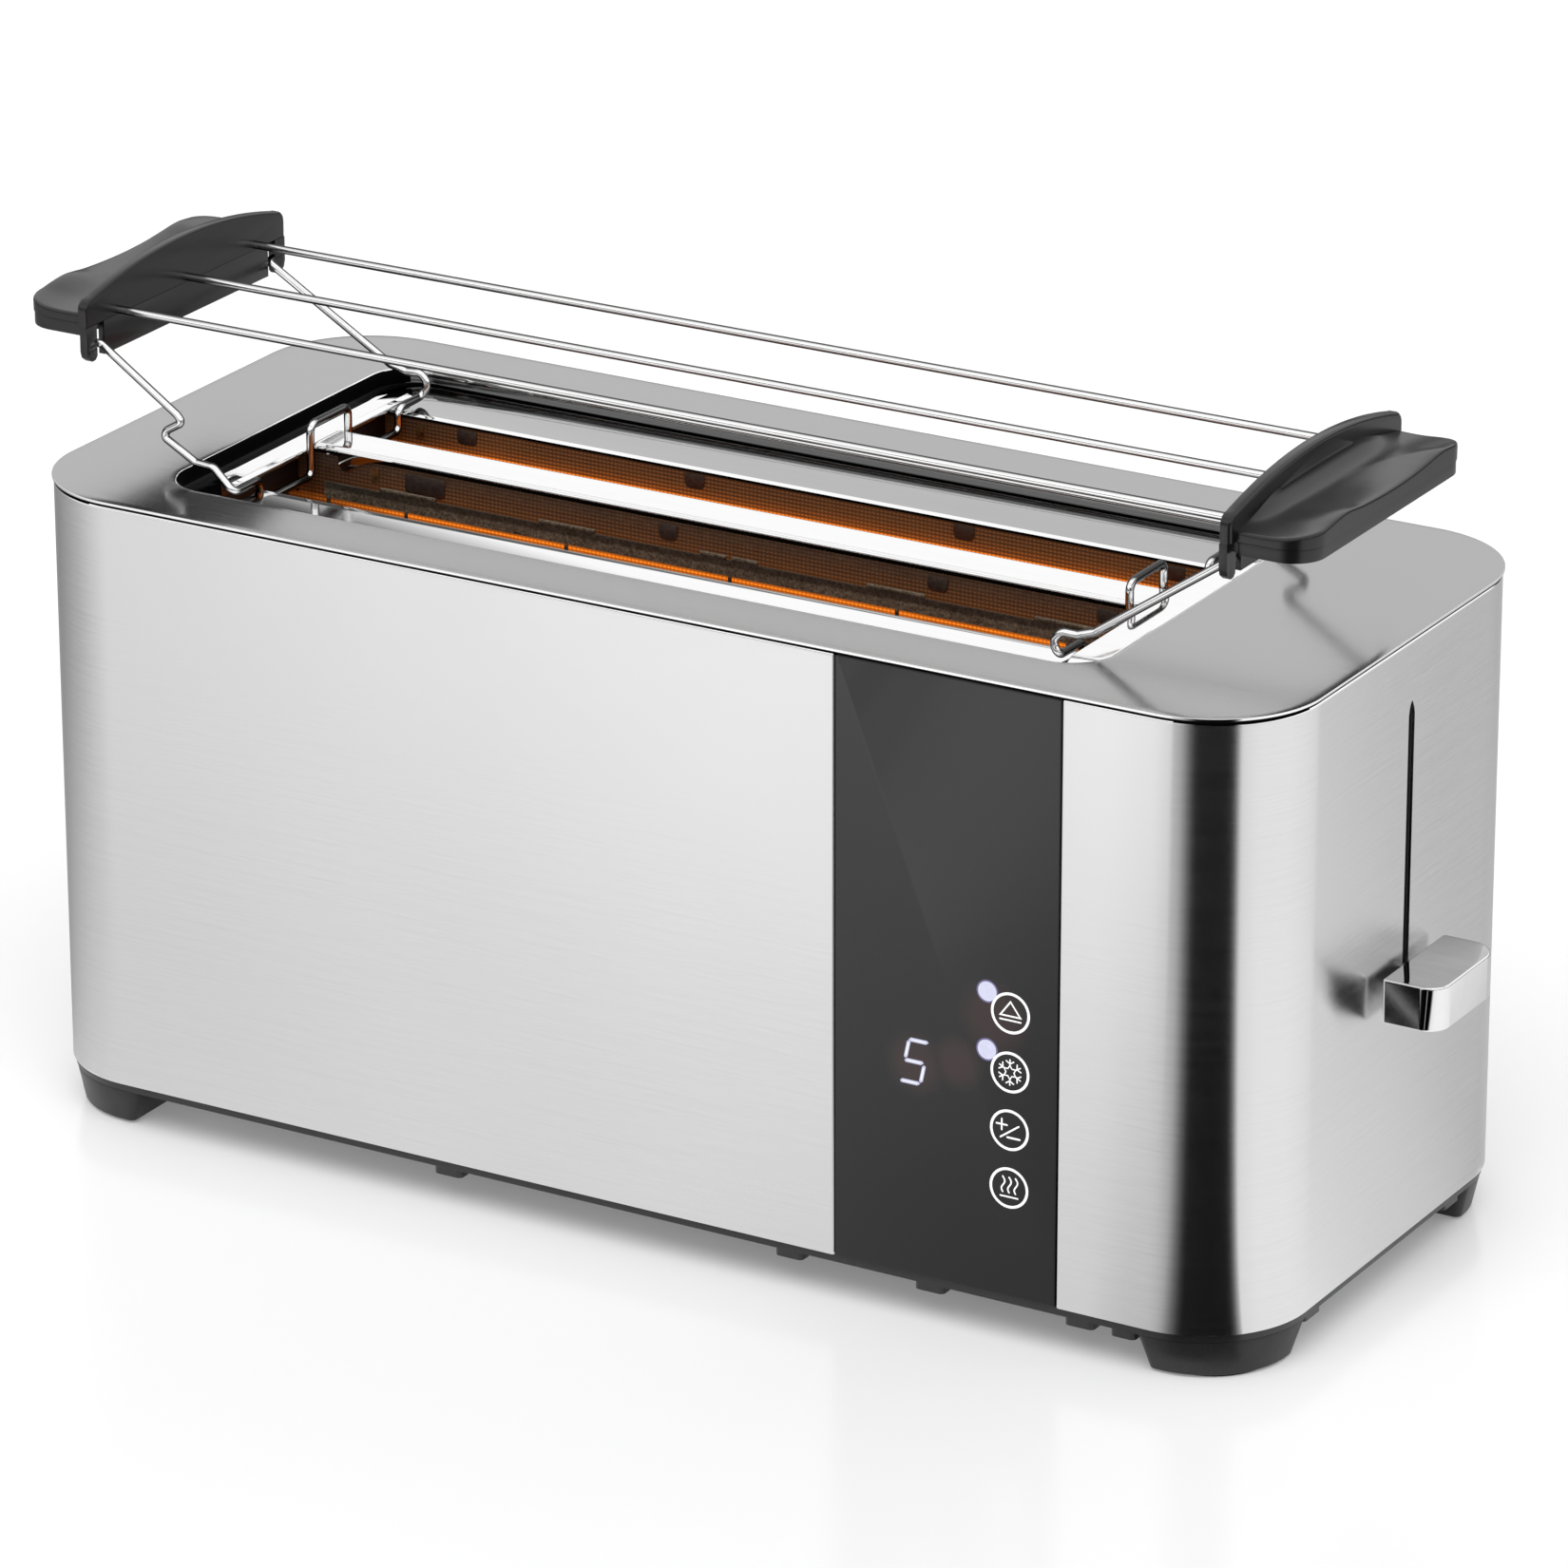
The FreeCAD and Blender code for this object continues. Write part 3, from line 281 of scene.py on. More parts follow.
# painted shade: a darker copy of the polished steel for the flat behind the rear slot
M["strip"] = polished("rear_strip_painted_shade", (0.40, 0.40, 0.40), 0.05)
M["component"] = plastic("component_plastic", (0.03, 0.03, 0.034), 0.45)
M["pcb"] = plastic("circuit_board", (0.02, 0.11, 0.05), 0.4, grain=500, vary=0.3)
M["display"] = plastic("display_plastic", (0.02, 0.02, 0.022), 0.35)
M["sleeving"] = plastic("wire_sleeve", (0.5, 0.5, 0.48), 0.5, grain=1800)


def wire_material():
    """Bright drawn wire: its flanks are painted dark in the base colour by how far they turn from the view, a painted
    reflection of the dark of the studio; its middle stays light.
    """
    m, nt, b = new_mat("bright_wire")
    b.inputs["Metallic"].default_value = 1.0
    lw = nt.nodes.new("ShaderNodeLayerWeight")
    lw.inputs["Blend"].default_value = 0.5
    # painted reflection: base colour bright where the wire faces the view, near-black at its flanks
    edge = ramp(nt, lw.outputs["Facing"], [(0.0, grey(1.0)), (0.18, grey(1.0)), (0.31, grey(0.42)), (0.42, grey(0.045)), (1.0, grey(0.01))])
    n = noise(nt, (70, 260, 260), 1.0, 2.0, 0.5)
    nt.links.new(times(nt, edge, ramp(nt, n, [(0.3, grey(0.97)), (0.7, grey(1.0))])), b.inputs["Base Color"])
    nt.links.new(remap(nt, n, 0.15, 0.19, 0.3, 0.7), b.inputs["Roughness"])
    return m


def panel_material():
    """Smoked glass: near-black, with painted shade that makes it darker toward the bottom and a faint warm glow of the
    lit digit and lamps painted into its base colour.
    """
    m, nt, b = new_mat("panel_glass")
    tc = nt.nodes.new("ShaderNodeTexCoord")
    film = noise(nt, (30, 30, 30), 1.0, 2.0, 0.5)
    # painted shade: the glass darkens towards the bottom, standing for the darker near floor it mirrors there
    painted_light_by_height = mix_col(nt, remap(nt, object_axis(nt, 2), 0.0, 1.0, 0.02, 0.185), (0.0010, 0.0010, 0.0011), (0.0270, 0.0270, 0.0275))
    base = mix_col(nt, remap(nt, film, 0.0, 0.08, 0.3, 0.7), painted_light_by_height, (0.020, 0.020, 0.021))
    total = None
    # painted light: a warm tint in the base colour round the lit digit and lamps
    for (x, z), r in (((96.0, 77.0), 0.0115), ((120.0, 95.5), 0.0135), ((109.0, 80.0), 0.010)):
        sub = nt.nodes.new("ShaderNodeVectorMath")
        sub.operation = "DISTANCE"
        sub.inputs[1].default_value = (x * MM, -0.084, z * MM)
        nt.links.new(tc.outputs["Object"], sub.inputs[0])
        f = remap(nt, sub.outputs["Value"], 1.0, 0.0, r * 0.3, r, smooth=True)
        total = f if total is None else math_node(nt, "MAXIMUM", total, f)
    nt.links.new(mix_col(nt, total, base, (0.036, 0.0225, 0.022)), b.inputs["Base Color"])
    nt.links.new(remap(nt, film, 0.07, 0.10, 0.3, 0.7), b.inputs["Roughness"])
    b.inputs["IOR"].default_value = 1.46
    return m


def heat(nt, z, y):
    """How hot the windings look at a height: bright orange low down, brown above; the rear ones glow a little higher up."""
    rear = remap(nt, y, 0.0, -0.0026, 0.015, 0.030)
    zz = math_node(nt, "ADD", z, rear)
    return ramp(nt, remap(nt, zz, 0.0, 1.0, 0.168, 0.189),
                [(0.0, (0.50, 0.10, 0.006)), (0.20, (0.55, 0.11, 0.006)), (0.25, (0.74, 0.165, 0.010)), (0.335, (0.74, 0.165, 0.010)),
                 (0.365, (0.22, 0.050, 0.005)), (0.43, (0.145, 0.036, 0.005)), (0.52, (0.085, 0.026, 0.005)), (0.70, (0.055, 0.018, 0.005)),
                 (0.86, (0.038, 0.013, 0.004)), (1.0, (0.014, 0.006, 0.0025))])


def turns(nt, lo, hi):
    """Fine rows of wound turns: a row every 1.15 mm, broken into short beads along it."""
    row = nt.nodes.new("ShaderNodeTexWave")
    row.wave_type, row.bands_direction, row.wave_profile = "BANDS", "Z", "SIN"
    row.inputs["Scale"].default_value = 314.16 / 1.15
    row.inputs["Distortion"].default_value = 0.0
    nt.links.new(coords(nt, (0.0, 0.0, 1.0)), row.inputs["Vector"])
    bead = nt.nodes.new("ShaderNodeTexWave")
    bead.wave_type, bead.bands_direction, bead.wave_profile = "BANDS", "X", "SIN"
    bead.inputs["Scale"].default_value = 314.16 / 1.3
    bead.inputs["Distortion"].default_value = 1.2
    bead.inputs["Detail"].default_value = 1.0
    bead.inputs["Detail Scale"].default_value = 2.0
    nt.links.new(coords(nt, (1.0, 0.0, 0.35)), bead.inputs["Vector"])
    f = math_node(nt, "MULTIPLY", row.outputs["Fac"], math_node(nt, "ADD", math_node(nt, "MULTIPLY", bead.outputs["Fac"], 0.75), 0.25))
    return f, ramp(nt, f, [(0.05, grey(lo)), (0.85, grey(hi))])


def left_fade(nt):
    """The windings start a little in from the boards' left end."""
    return ramp(nt, remap(nt, object_axis(nt, 0), 0.0, 1.0, -0.155, -0.115), [(0.0, grey(0.16)), (0.35, grey(0.3)), (1.0, grey(1.0))])


def times(nt, a, b):
    mul = nt.nodes.new("ShaderNodeMix")
    mul.data_type = "RGBA"
    mul.blend_type = "MULTIPLY"
    mul.inputs[0].default_value = 1.0
    nt.links.new(a, mul.inputs[6])
    nt.links.new(b, mul.inputs[7])
    return mul.outputs[2]


def board_material():
    """Mica sheet lit by its own windings: dark brown and flaky above, glowing orange lower down."""
    m, nt, b = new_mat("mica_board")
    z, y = object_axis(nt, 2), object_axis(nt, 1)
    flake = noise(nt, (420, 420, 900), 1.0, 4.0, 0.7, 0.3)
    patch = noise(nt, (60, 60, 140), 1.0, 3.0, 0.6)
    f, k = turns(nt, 0.55, 1.35)
    c = ramp(nt, flake, [(0.25, (0.016, 0.009, 0.005)), (0.55, (0.034, 0.020, 0.011)), (0.8, (0.075, 0.046, 0.026))])
    nt.links.new(times(nt, c, k), b.inputs["Base Color"])
    nt.links.new(remap(nt, flake, 0.45, 0.75, 0.3, 0.7), b.inputs["Roughness"])
    e = times(nt, heat(nt, z, y), ramp(nt, patch, [(0.3, grey(0.7)), (0.7, grey(1.15))]))
    e = times(nt, e, left_fade(nt))
    nt.links.new(times(nt, e, k), b.inputs["Emission Color"])
    b.inputs["Emission Strength"].default_value = 1.0
    bump(nt, b, flake, 0.35, 0.00012)
    return m


def ribbon_material():
    """Flat heating ribbon, its wound turns showing as fine beads along each run."""
    m, nt, b = new_mat("heater_ribbon")
    z, y = object_axis(nt, 2), object_axis(nt, 1)
    f, k = turns(nt, 0.55, 1.3)
    nt.links.new(ramp(nt, f, [(0.1, (0.025, 0.014, 0.009)), (0.85, (0.085, 0.055, 0.034))]), b.inputs["Base Color"])
    b.inputs["Metallic"].default_value = 0.5
    nt.links.new(remap(nt, f, 0.35, 0.5), b.inputs["Roughness"])
    nt.links.new(times(nt, times(nt, heat(nt, z, y), k), left_fade(nt)), b.inputs["Emission Color"])
    b.inputs["Emission Strength"].default_value = 1.25
    bump(nt, b, f, 0.5, 0.0001)
    return m


def guard_material():
    """Coated steel of the bread guards: brown-grey with fine pits and wear, with light and shade painted in by height:
    near-black low down, light on the rail's face, a dark painted shadow band above that, a painted highlight line at
    the top.
    """
    m, nt, b = new_mat("guard_steel")
    z = object_axis(nt, 2)
    pit = noise(nt, (1500, 1500, 1500), 1.0, 2.0, 0.6)
    wear = noise(nt, (90, 90, 260), 1.0, 3.0, 0.6)
    c = ramp(nt, pit, [(0.32, (0.040, 0.033, 0.023)), (0.5, (0.100, 0.086, 0.061)), (0.7, (0.17, 0.148, 0.108))])
    # painted light and shade by height: dark low down, light on the rail's face, a painted shadow band, then a painted
    # highlight line
    painted_light_by_height = ramp(nt, remap(nt, z, 0.0, 1.0, 0.170, 0.184), [(0.0, grey(0.25)), (0.5, grey(0.35)), (0.57, grey(1.0)), (0.74, grey(0.95)), (0.79, grey(0.36)),
                                                          (0.93, grey(0.30)), (0.97, grey(1.3))])
    c = times(nt, times(nt, c, painted_light_by_height), ramp(nt, wear, [(0.3, grey(0.8)), (0.7, grey(1.15))]))
    nt.links.new(c, b.inputs["Base Color"])
    b.inputs["Metallic"].default_value = 0.35
    nt.links.new(remap(nt, pit, 0.4, 0.6, 0.3, 0.7), b.inputs["Roughness"])
    bump(nt, b, pit, 0.3, 0.0001)
    return m


M["wire"] = wire_material()
M["guard"] = guard_material()
M["glass"] = panel_material()
M["board"] = board_material()
M["ribbon"] = ribbon_material()
M["print"] = glow("icon_print", (0.86, 0.86, 0.86), 0.35, base=(0.82, 0.82, 0.82))
M["lamp"] = glow("lamp_glow", (0.70, 0.71, 0.90), 1.0, base=(0.04, 0.04, 0.05))
M["lamp_halo"] = glow("lamp_halo", (0.20, 0.17, 0.36), 0.6, base=(0.03, 0.028, 0.05))
M["digit"] = glow("digit_glow", (0.56, 0.57, 0.76), 1.0, base=(0.04, 0.04, 0.05))
M["digit_core"] = glow("digit_core", (0.96, 0.96, 1.0), 1.0, base=(0.04, 0.04, 0.05))

CAD_LOOK = {
    "rack_rods": "wire", "left_leg_wire": "wire", "right_leg_wire": "wire",
    "upper_frame": "wall", "base_moulding": "black", "lever_slot_guide": "black", "panel_carrier": "black",
    "cord_gland": "black", "terminal_block": "black", "feet": "foot", "foot_pads": "rubber",
    "left_handle_lower": "handle", "right_handle_lower": "handle",
    "left_chassis_plate": "shade_painted_sheet", "right_chassis_plate": "shade_painted_sheet", "chassis_rails": "zinc", "heat_shields": "zinc",
    "centre_reflector": "zinc", "crumb_tray": "zinc", "guide_rod_brackets": "zinc", "electromagnet_bracket": "zinc",
    "lever_arm": "zinc", "latch_armature": "zinc", "base_screws": "screw", "handle_screws": "screw", "guide_rod": "screw",
    "electromagnet_core": "screw", "touch_springs": "screw", "control_board": "pcb", "power_board": "pcb",
    "power_components": "component", "carriage_slider": "component", "electromagnet_coil": "copper",
    "internal_wiring": "sleeving", "display_module": "display", "status_leds": "display", "mica_clips": "clip",
    "heater_terminals": "brass", "front_bread_rack": "guard", "rear_bread_rack": "guard",
}
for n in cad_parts:
    if n.startswith("heater_board"):
        CAD_LOOK[n] = "board"
    elif n.startswith("heater_winding"):
        CAD_LOOK[n] = "ribbon"
    elif "slot_guard" in n:
        CAD_LOOK[n] = "guard"
for n, key in CAD_LOOK.items():
    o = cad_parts[n]
    for i in range(len(o.material_slots)):
        o.material_slots[i].material = M[key]


# ------------------------------------------------------------------ mesh helpers
def raw_mesh(name, verts, faces):
    me = bpy.data.meshes.new(name)
    me.from_pydata([(x * MM, y * MM, z * MM) for x, y, z in verts], [], faces)
    bm = bmesh.new()
    bm.from_mesh(me)
    bmesh.ops.remove_doubles(bm, verts=bm.verts, dist=2e-7)
    bmesh.ops.recalc_face_normals(bm, faces=bm.faces)
    bm.to_mesh(me)
    bm.free()
    return me


def add_object(name, me):
    ob = bpy.data.objects.new(name, me)
    scene.collection.objects.link(ob)
    return ob


def bake_modifiers(ob):
    """The object's mesh becomes its modified mesh."""
    dg = bpy.context.evaluated_depsgraph_get()
    me = bpy.data.meshes.new_from_object(ob.evaluated_get(dg))
    ob.modifiers.clear()
    old = ob.data
    ob.data = me
    if old.users == 0:
        bpy.data.meshes.remove(old)
    return ob


def boolean(ob, cutters, op="DIFFERENCE"):
    for c in cutters:
        md = ob.modifiers.new("b", "BOOLEAN")
        md.operation, md.solver, md.object = op, "EXACT", c
    bake_modifiers(ob)
    for c in cutters:
        bpy.data.objects.remove(c)
    return ob


def bevel(ob, width, segments=3, angle=32, weight=False):
    md = ob.modifiers.new("bevel", "BEVEL")
    md.width, md.segments = width * MM, segments
    md.limit_method = "WEIGHT" if weight else "ANGLE"
    md.angle_limit = math.radians(angle)
    md.use_clamp_overlap = True
    return bake_modifiers(ob)


def tidy(ob, angle=0.6):
    """Joins coplanar scraps left by a boolean and drops anything loose."""
    bm = bmesh.new()
    bm.from_mesh(ob.data)
    bmesh.ops.remove_doubles(bm, verts=bm.verts, dist=1e-6)
    bmesh.ops.dissolve_limit(bm, angle_limit=math.radians(angle), verts=bm.verts, edges=bm.edges)
    bmesh.ops.delete(bm, geom=[v for v in bm.verts if not v.link_faces], context="VERTS")
    bmesh.ops.recalc_face_normals(bm, faces=bm.faces)
    bm.to_mesh(ob.data)
    bm.free()
    return ob


def finish_piece(ob, body, mat, gone=(), angle=30):
    ob.data.shade_smooth()
    ob.data.set_sharp_from_angle(angle=math.radians(angle))
    ob.data.materials.clear()
    ob.data.materials.append(mat)
    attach(ob, body)
    if gone:
        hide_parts(*gone)
    return ob


def piece(name, verts, faces, body, mat, gone=(), angle=30):
    return finish_piece(add_object(name, raw_mesh(name, verts, faces)), body, mat, gone, angle)


def prism(name, outline, axis, a, b):
    """Closed prism of a 2-D outline along an axis; the outline is given in the other two axes in order."""
    n = len(outline)
    def at(p, t):
        q = list(p)
        q.insert(axis, t)
        return tuple(q)
    verts = [at(p, a) for p in outline] + [at(p, b) for p in outline]
    faces = [tuple(range(n)), tuple(range(2 * n - 1, n - 1, -1))]
    faces += [(i, (i + 1) % n, n + (i + 1) % n, n + i) for i in range(n)]
    return add_object(name, raw_mesh(name, verts, faces))


def rloop(x0, x1, y0, y1, r, z, nc=20):
    """Rounded rectangle as a closed loop, anticlockwise; r is one radius or four from (x0,y0) round."""
    rs = list(r) if isinstance(r, (list, tuple)) else [r] * 4
    out = []
    for (cx, cy, sx, sy, a0), rad in zip(((x0, y0, 1, 1, 180), (x1, y0, -1, 1, 270), (x1, y1, -1, -1, 0), (x0, y1, 1, -1, 90)), rs):
        for k in range(nc + 1):
            t = math.radians(a0 + 90.0 * k / nc)
            out.append((cx + sx * rad + rad * math.cos(t), cy + sy * rad + rad * math.sin(t), z))
    return out


def loft(rings, loop=False):
    """Rings joined in order; closed on themselves if loop, otherwise capped at both ends."""
    n = len(rings[0])
    verts = [p for r in rings for p in r]
    faces = []
    m = len(rings)
    for k in range(m if loop else m - 1):
        a, b = k * n, ((k + 1) % m) * n
        for i in range(n):
            j = (i + 1) % n
            faces.append((a + i, a + j, b + j, b + i))
    if not loop:
        faces.append(tuple(range(n)))
        faces.append(tuple(range((m - 1) * n, m * n)))
    return verts, faces


def refine(node, body, key, width=0.25, segments=2, angle=32, name=None):
    """A copy of a CAD node with its edges broken, shown in the node's place."""
    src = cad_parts[node]
    me = src.data.copy()
    me.name = name or node + "_shell"
    if "custom_normal" in me.attributes:
        me.attributes.remove(me.attributes["custom_normal"])
    bm = bmesh.new()
    bm.from_mesh(me)
    bmesh.ops.remove_doubles(bm, verts=bm.verts, dist=2e-6)
    bmesh.ops.dissolve_limit(bm, angle_limit=math.radians(0.7), verts=bm.verts, edges=bm.edges)
    bmesh.ops.recalc_face_normals(bm, faces=bm.faces)
    bm.to_mesh(me)
    bm.free()
    ob = add_object(me.name, me)
    bevel(ob, width, segments, angle)
    return finish_piece(ob, body, M[key], (node,), angle=38)


def hermite(xs, ys):
    """Smooth curve through points."""
    xs, ys = list(xs), list(ys)
    m = []
    for i in range(len(xs)):
        a, b = max(0, i - 1), min(len(xs) - 1, i + 1)
        m.append((ys[b] - ys[a]) / (xs[b] - xs[a]))

    def f(x):
        if x <= xs[0]:
            return ys[0]
        if x >= xs[-1]:
            return ys[-1]
        i = max(k for k in range(len(xs)) if xs[k] <= x)
        h = xs[i + 1] - xs[i]
        t = (x - xs[i]) / h
        return ((2 * t ** 3 - 3 * t ** 2 + 1) * ys[i] + (t ** 3 - 2 * t ** 2 + t) * h * m[i]
                + (-2 * t ** 3 + 3 * t ** 2) * ys[i + 1] + (t ** 3 - t ** 2) * h * m[i + 1])
    return f


# ------------------------------------------------------------------ steel sleeve
def sleeve_path():
    """Outside of the sleeve in plan with its inside offset, from the panel's right edge round to its left edge."""
    hx, hy, R, t = BODY_L / 2, BODY_W / 2, CORNER_R, SLEEVE_T
    pts = []
    xr, xl = PANEL_X1 + 0.25, PANEL_X0 - 0.25
    pts.append(((xr, -78.0), (xr + t, -78.0)))
    pts.append(((xr, -82.6), (xr + t, -82.6)))
    for k in range(7):
        a = math.radians(180 + 90 * k / 6)
        r = 0.9
        pts.append(((xr + r + r * math.cos(a), -hy + r + r * math.sin(a)),
                    (xr + r + (r - t) * math.cos(a), -hy + r + (r - t) * math.sin(a))))
    for cx, cy, a0 in ((hx - R, -hy + R, 270), (hx - R, hy - R, 0), (-hx + R, hy - R, 90), (-hx + R, -hy + R, 180)):
        # a row just before and after each bend keeps the flats between them flat
        turns_at = [(a0, -1.0)] + [(a0 + 90 * k / 40, 0.0) for k in range(41)] + [(a0 + 90, 1.0)]
        for deg, d in turns_at:
            a = math.radians(deg)
            ox, oy = -math.sin(a) * d, math.cos(a) * d
            pts.append(((cx + R * math.cos(a) + ox, cy + R * math.sin(a) + oy),
                        (cx + (R - t) * math.cos(a) + ox, cy + (R - t) * math.sin(a) + oy)))
    for k in range(7):
        a = math.radians(270 + 90 * k / 6)
        r = 0.9
        pts.append(((xl - r + r * math.cos(a), -hy + r + r * math.sin(a)),
                    (xl - r + (r - t) * math.cos(a), -hy + r + (r - t) * math.sin(a))))
    pts.append(((xl, -82.6), (xl - t, -82.6)))
    pts.append(((xl, -78.0), (xl - t, -78.0)))
    return pts


def make_sleeve():
    prof = [(0.30, 14.0), (0.10, 14.05), (0.0, 14.25), (0.0, 14.8), (0.0, 189.9), (0.0, 190.3), (0.1, 190.6), (0.32, 190.82), (0.42, 190.86),
            (0.92, 190.86), (1.0, 190.72), (1.0, 14.25), (0.9, 14.05), (0.7, 14.0)]
    rings = [[(o[0] + (i[0] - o[0]) * w, o[1] + (i[1] - o[1]) * w, z) for w, z in prof] for o, i in sleeve_path()]
    v, f = loft(rings)
    ob = add_object("outer_sleeve_shell", raw_mesh("outer_sleeve_shell", v, f))
    hw, z0, z1 = 1.8, 85.0, 173.4
    out = [(LEVER_Y + hw * math.cos(math.radians(a)), z0 + hw + hw * math.sin(math.radians(a))) for a in range(180, 361, 15)]
    out += [(LEVER_Y + hw, z1 - 4.0), (LEVER_Y + 1.35, z1 - 2.0), (LEVER_Y + 0.75, z1 - 0.7), (LEVER_Y + 0.25, z1 - 0.08),
            (LEVER_Y - 0.25, z1 - 0.08), (LEVER_Y - 0.75, z1 - 0.7), (LEVER_Y - 1.35, z1 - 2.0), (LEVER_Y - hw, z1 - 4.0)]
    lever = prism("c1", out, 0, 190.0, 210.0)
    mouth = prism("c2", [(p[0], p[1]) for p in rloop(-151.0, 121.0, 15.5, 29.0, 1.2, 0, 6)], 1, 76.0, 92.0)
    notch = prism("c3", [(p[0], p[1]) for p in rloop(-45.0, 15.0, 12.0, 20.0, 1.0, 0, 6)], 1, 76.0, 92.0)
    hole = prism("c4", [(156.0 + 7.1 * math.cos(2 * math.pi * k / 48), 42.0 + 7.1 * math.sin(2 * math.pi * k / 48)) for k in range(48)],
                 1, 76.0, 92.0)
    boolean(ob, [lever, mouth, notch, hole])
    # the lever slot's outer edge is rolled: break just those edges
    bm = bmesh.new()
    bm.from_mesh(ob.data)
    lay = bm.edges.layers.float.get("bevel_weight_edge") or bm.edges.layers.float.new("bevel_weight_edge")
    for e in bm.edges:
        m = (e.verts[0].co + e.verts[1].co) * 0.5 / MM
        on_slot = abs(m.x - 200.0) < 0.02 and abs(m.y - LEVER_Y) < 2.0 and 84.5 < m.z < 173.8
        on_back = abs(m.y - 84.0) < 0.02 and -152 < m.x < 165 and 14.6 < m.z < 50.0
        if (on_slot or on_back) and len(e.link_faces) == 2 and e.calc_face_angle(0) > 0.9:
            e[lay] = 1.0
    bm.to_mesh(ob.data)
    bm.free()
    bevel(ob, 0.28, 2, weight=True)
    finish_piece(ob, "body", M["steel_side"], ("outer_sleeve",), angle=21)
    # painted highlight and shadow: the top edge gets a brighter polished steel for its bright line, and what lies in
    # the gap under the plate is painted near-black for its shadow
    ob.data.materials.append(M["rim"])
    ob.data.materials.append(M["gap"])
    for p in ob.data.polygons:
        c = p.center / MM
        if c.z > 190.855 or (c.z > 190.7 and abs(p.normal.z) < 0.9 and max(abs(c.x) - 199.4, abs(c.y) - 83.4) < 0 and abs(p.normal.z) > 0.05):
            p.material_index = 2
        elif c.z > 190.32:
            p.material_index = 1
    return ob


make_sleeve()


# ------------------------------------------------------------------ top plate with rolled rims
def make_top_plate():
    hx, hy, R = BODY_L / 2 + PLATE_OVER, BODY_W / 2 + PLATE_OVER, CORNER_R + PLATE_OVER

    def outer(d, z):
        return rloop(-hx + d, hx - d, -hy + d, hy - d, R - d, z, 28)

    def inner(e, z):
        return rloop(REC_X0 - e, REC_X1 + e, -REC_HY - e, REC_HY + e, REC_R + e, z, 28)
    rings = [outer(1.3, 191.8), outer(0.1, 191.8), outer(0.02, 191.83), outer(0.0, 191.88), outer(0.0, 192.34), outer(0.02, 192.41),
             outer(0.06, 192.46), outer(0.12, 192.49), outer(0.2, 192.5), outer(3.0, 192.5),
             inner(3.0, 192.5), inner(1.35, 192.5), inner(1.05, 192.47), inner(0.86, 192.40), inner(0.74, 192.30), inner(0.30, 191.40),
             inner(0.17, 191.08), inner(0.08, 190.75), inner(0.03, 190.45), inner(0.0, 190.1), inner(0.0, 188.15), inner(0.05, 188.05),
             inner(0.7, 188.05), inner(0.8, 188.15), inner(0.8, 191.7), inner(0.95, 191.8)]
    v, f = loft(rings, loop=True)
    ob = piece("top_plate_shell", v, f, "body", M["steel_top"], ("top_plate",), angle=40)
    # painted highlight and shade: the sheared edge and the rolled inner rim get a brighter polished steel, the skirt in
    # the recess a darker one for its shade, and the underside and the skirt's face at the left end of the opening a
    # near-black one for their shadow
    ob.data.materials.append(M["rim"])
    ob.data.materials.append(M["gap"])
    ob.data.materials.append(M["skirt"])
    for p in ob.data.polygons:
        c = p.center / MM
        far = math.hypot(max(abs(c.x) - (hx - R), 0.0), max(abs(c.y) - (hy - R), 0.0))
        mx = (REC_X0 + REC_X1) / 2
        hole = math.hypot(max(abs(c.x - mx) - ((REC_X1 - REC_X0) / 2 - REC_R), 0.0), max(abs(c.y) - (REC_HY - REC_R), 0.0)) - REC_R
        if p.normal.z < -0.9:
            p.material_index = 2
        elif far > R - 0.11:
            p.material_index = 1
        elif hole < 1.3 and c.x < mx and p.normal.x > 0.6:
            p.material_index = 2
        elif hole < 1.3 and c.z > 190.2:
            p.material_index = 1
        elif hole < 1.3:
            p.material_index = 3
    return ob


make_top_plate()


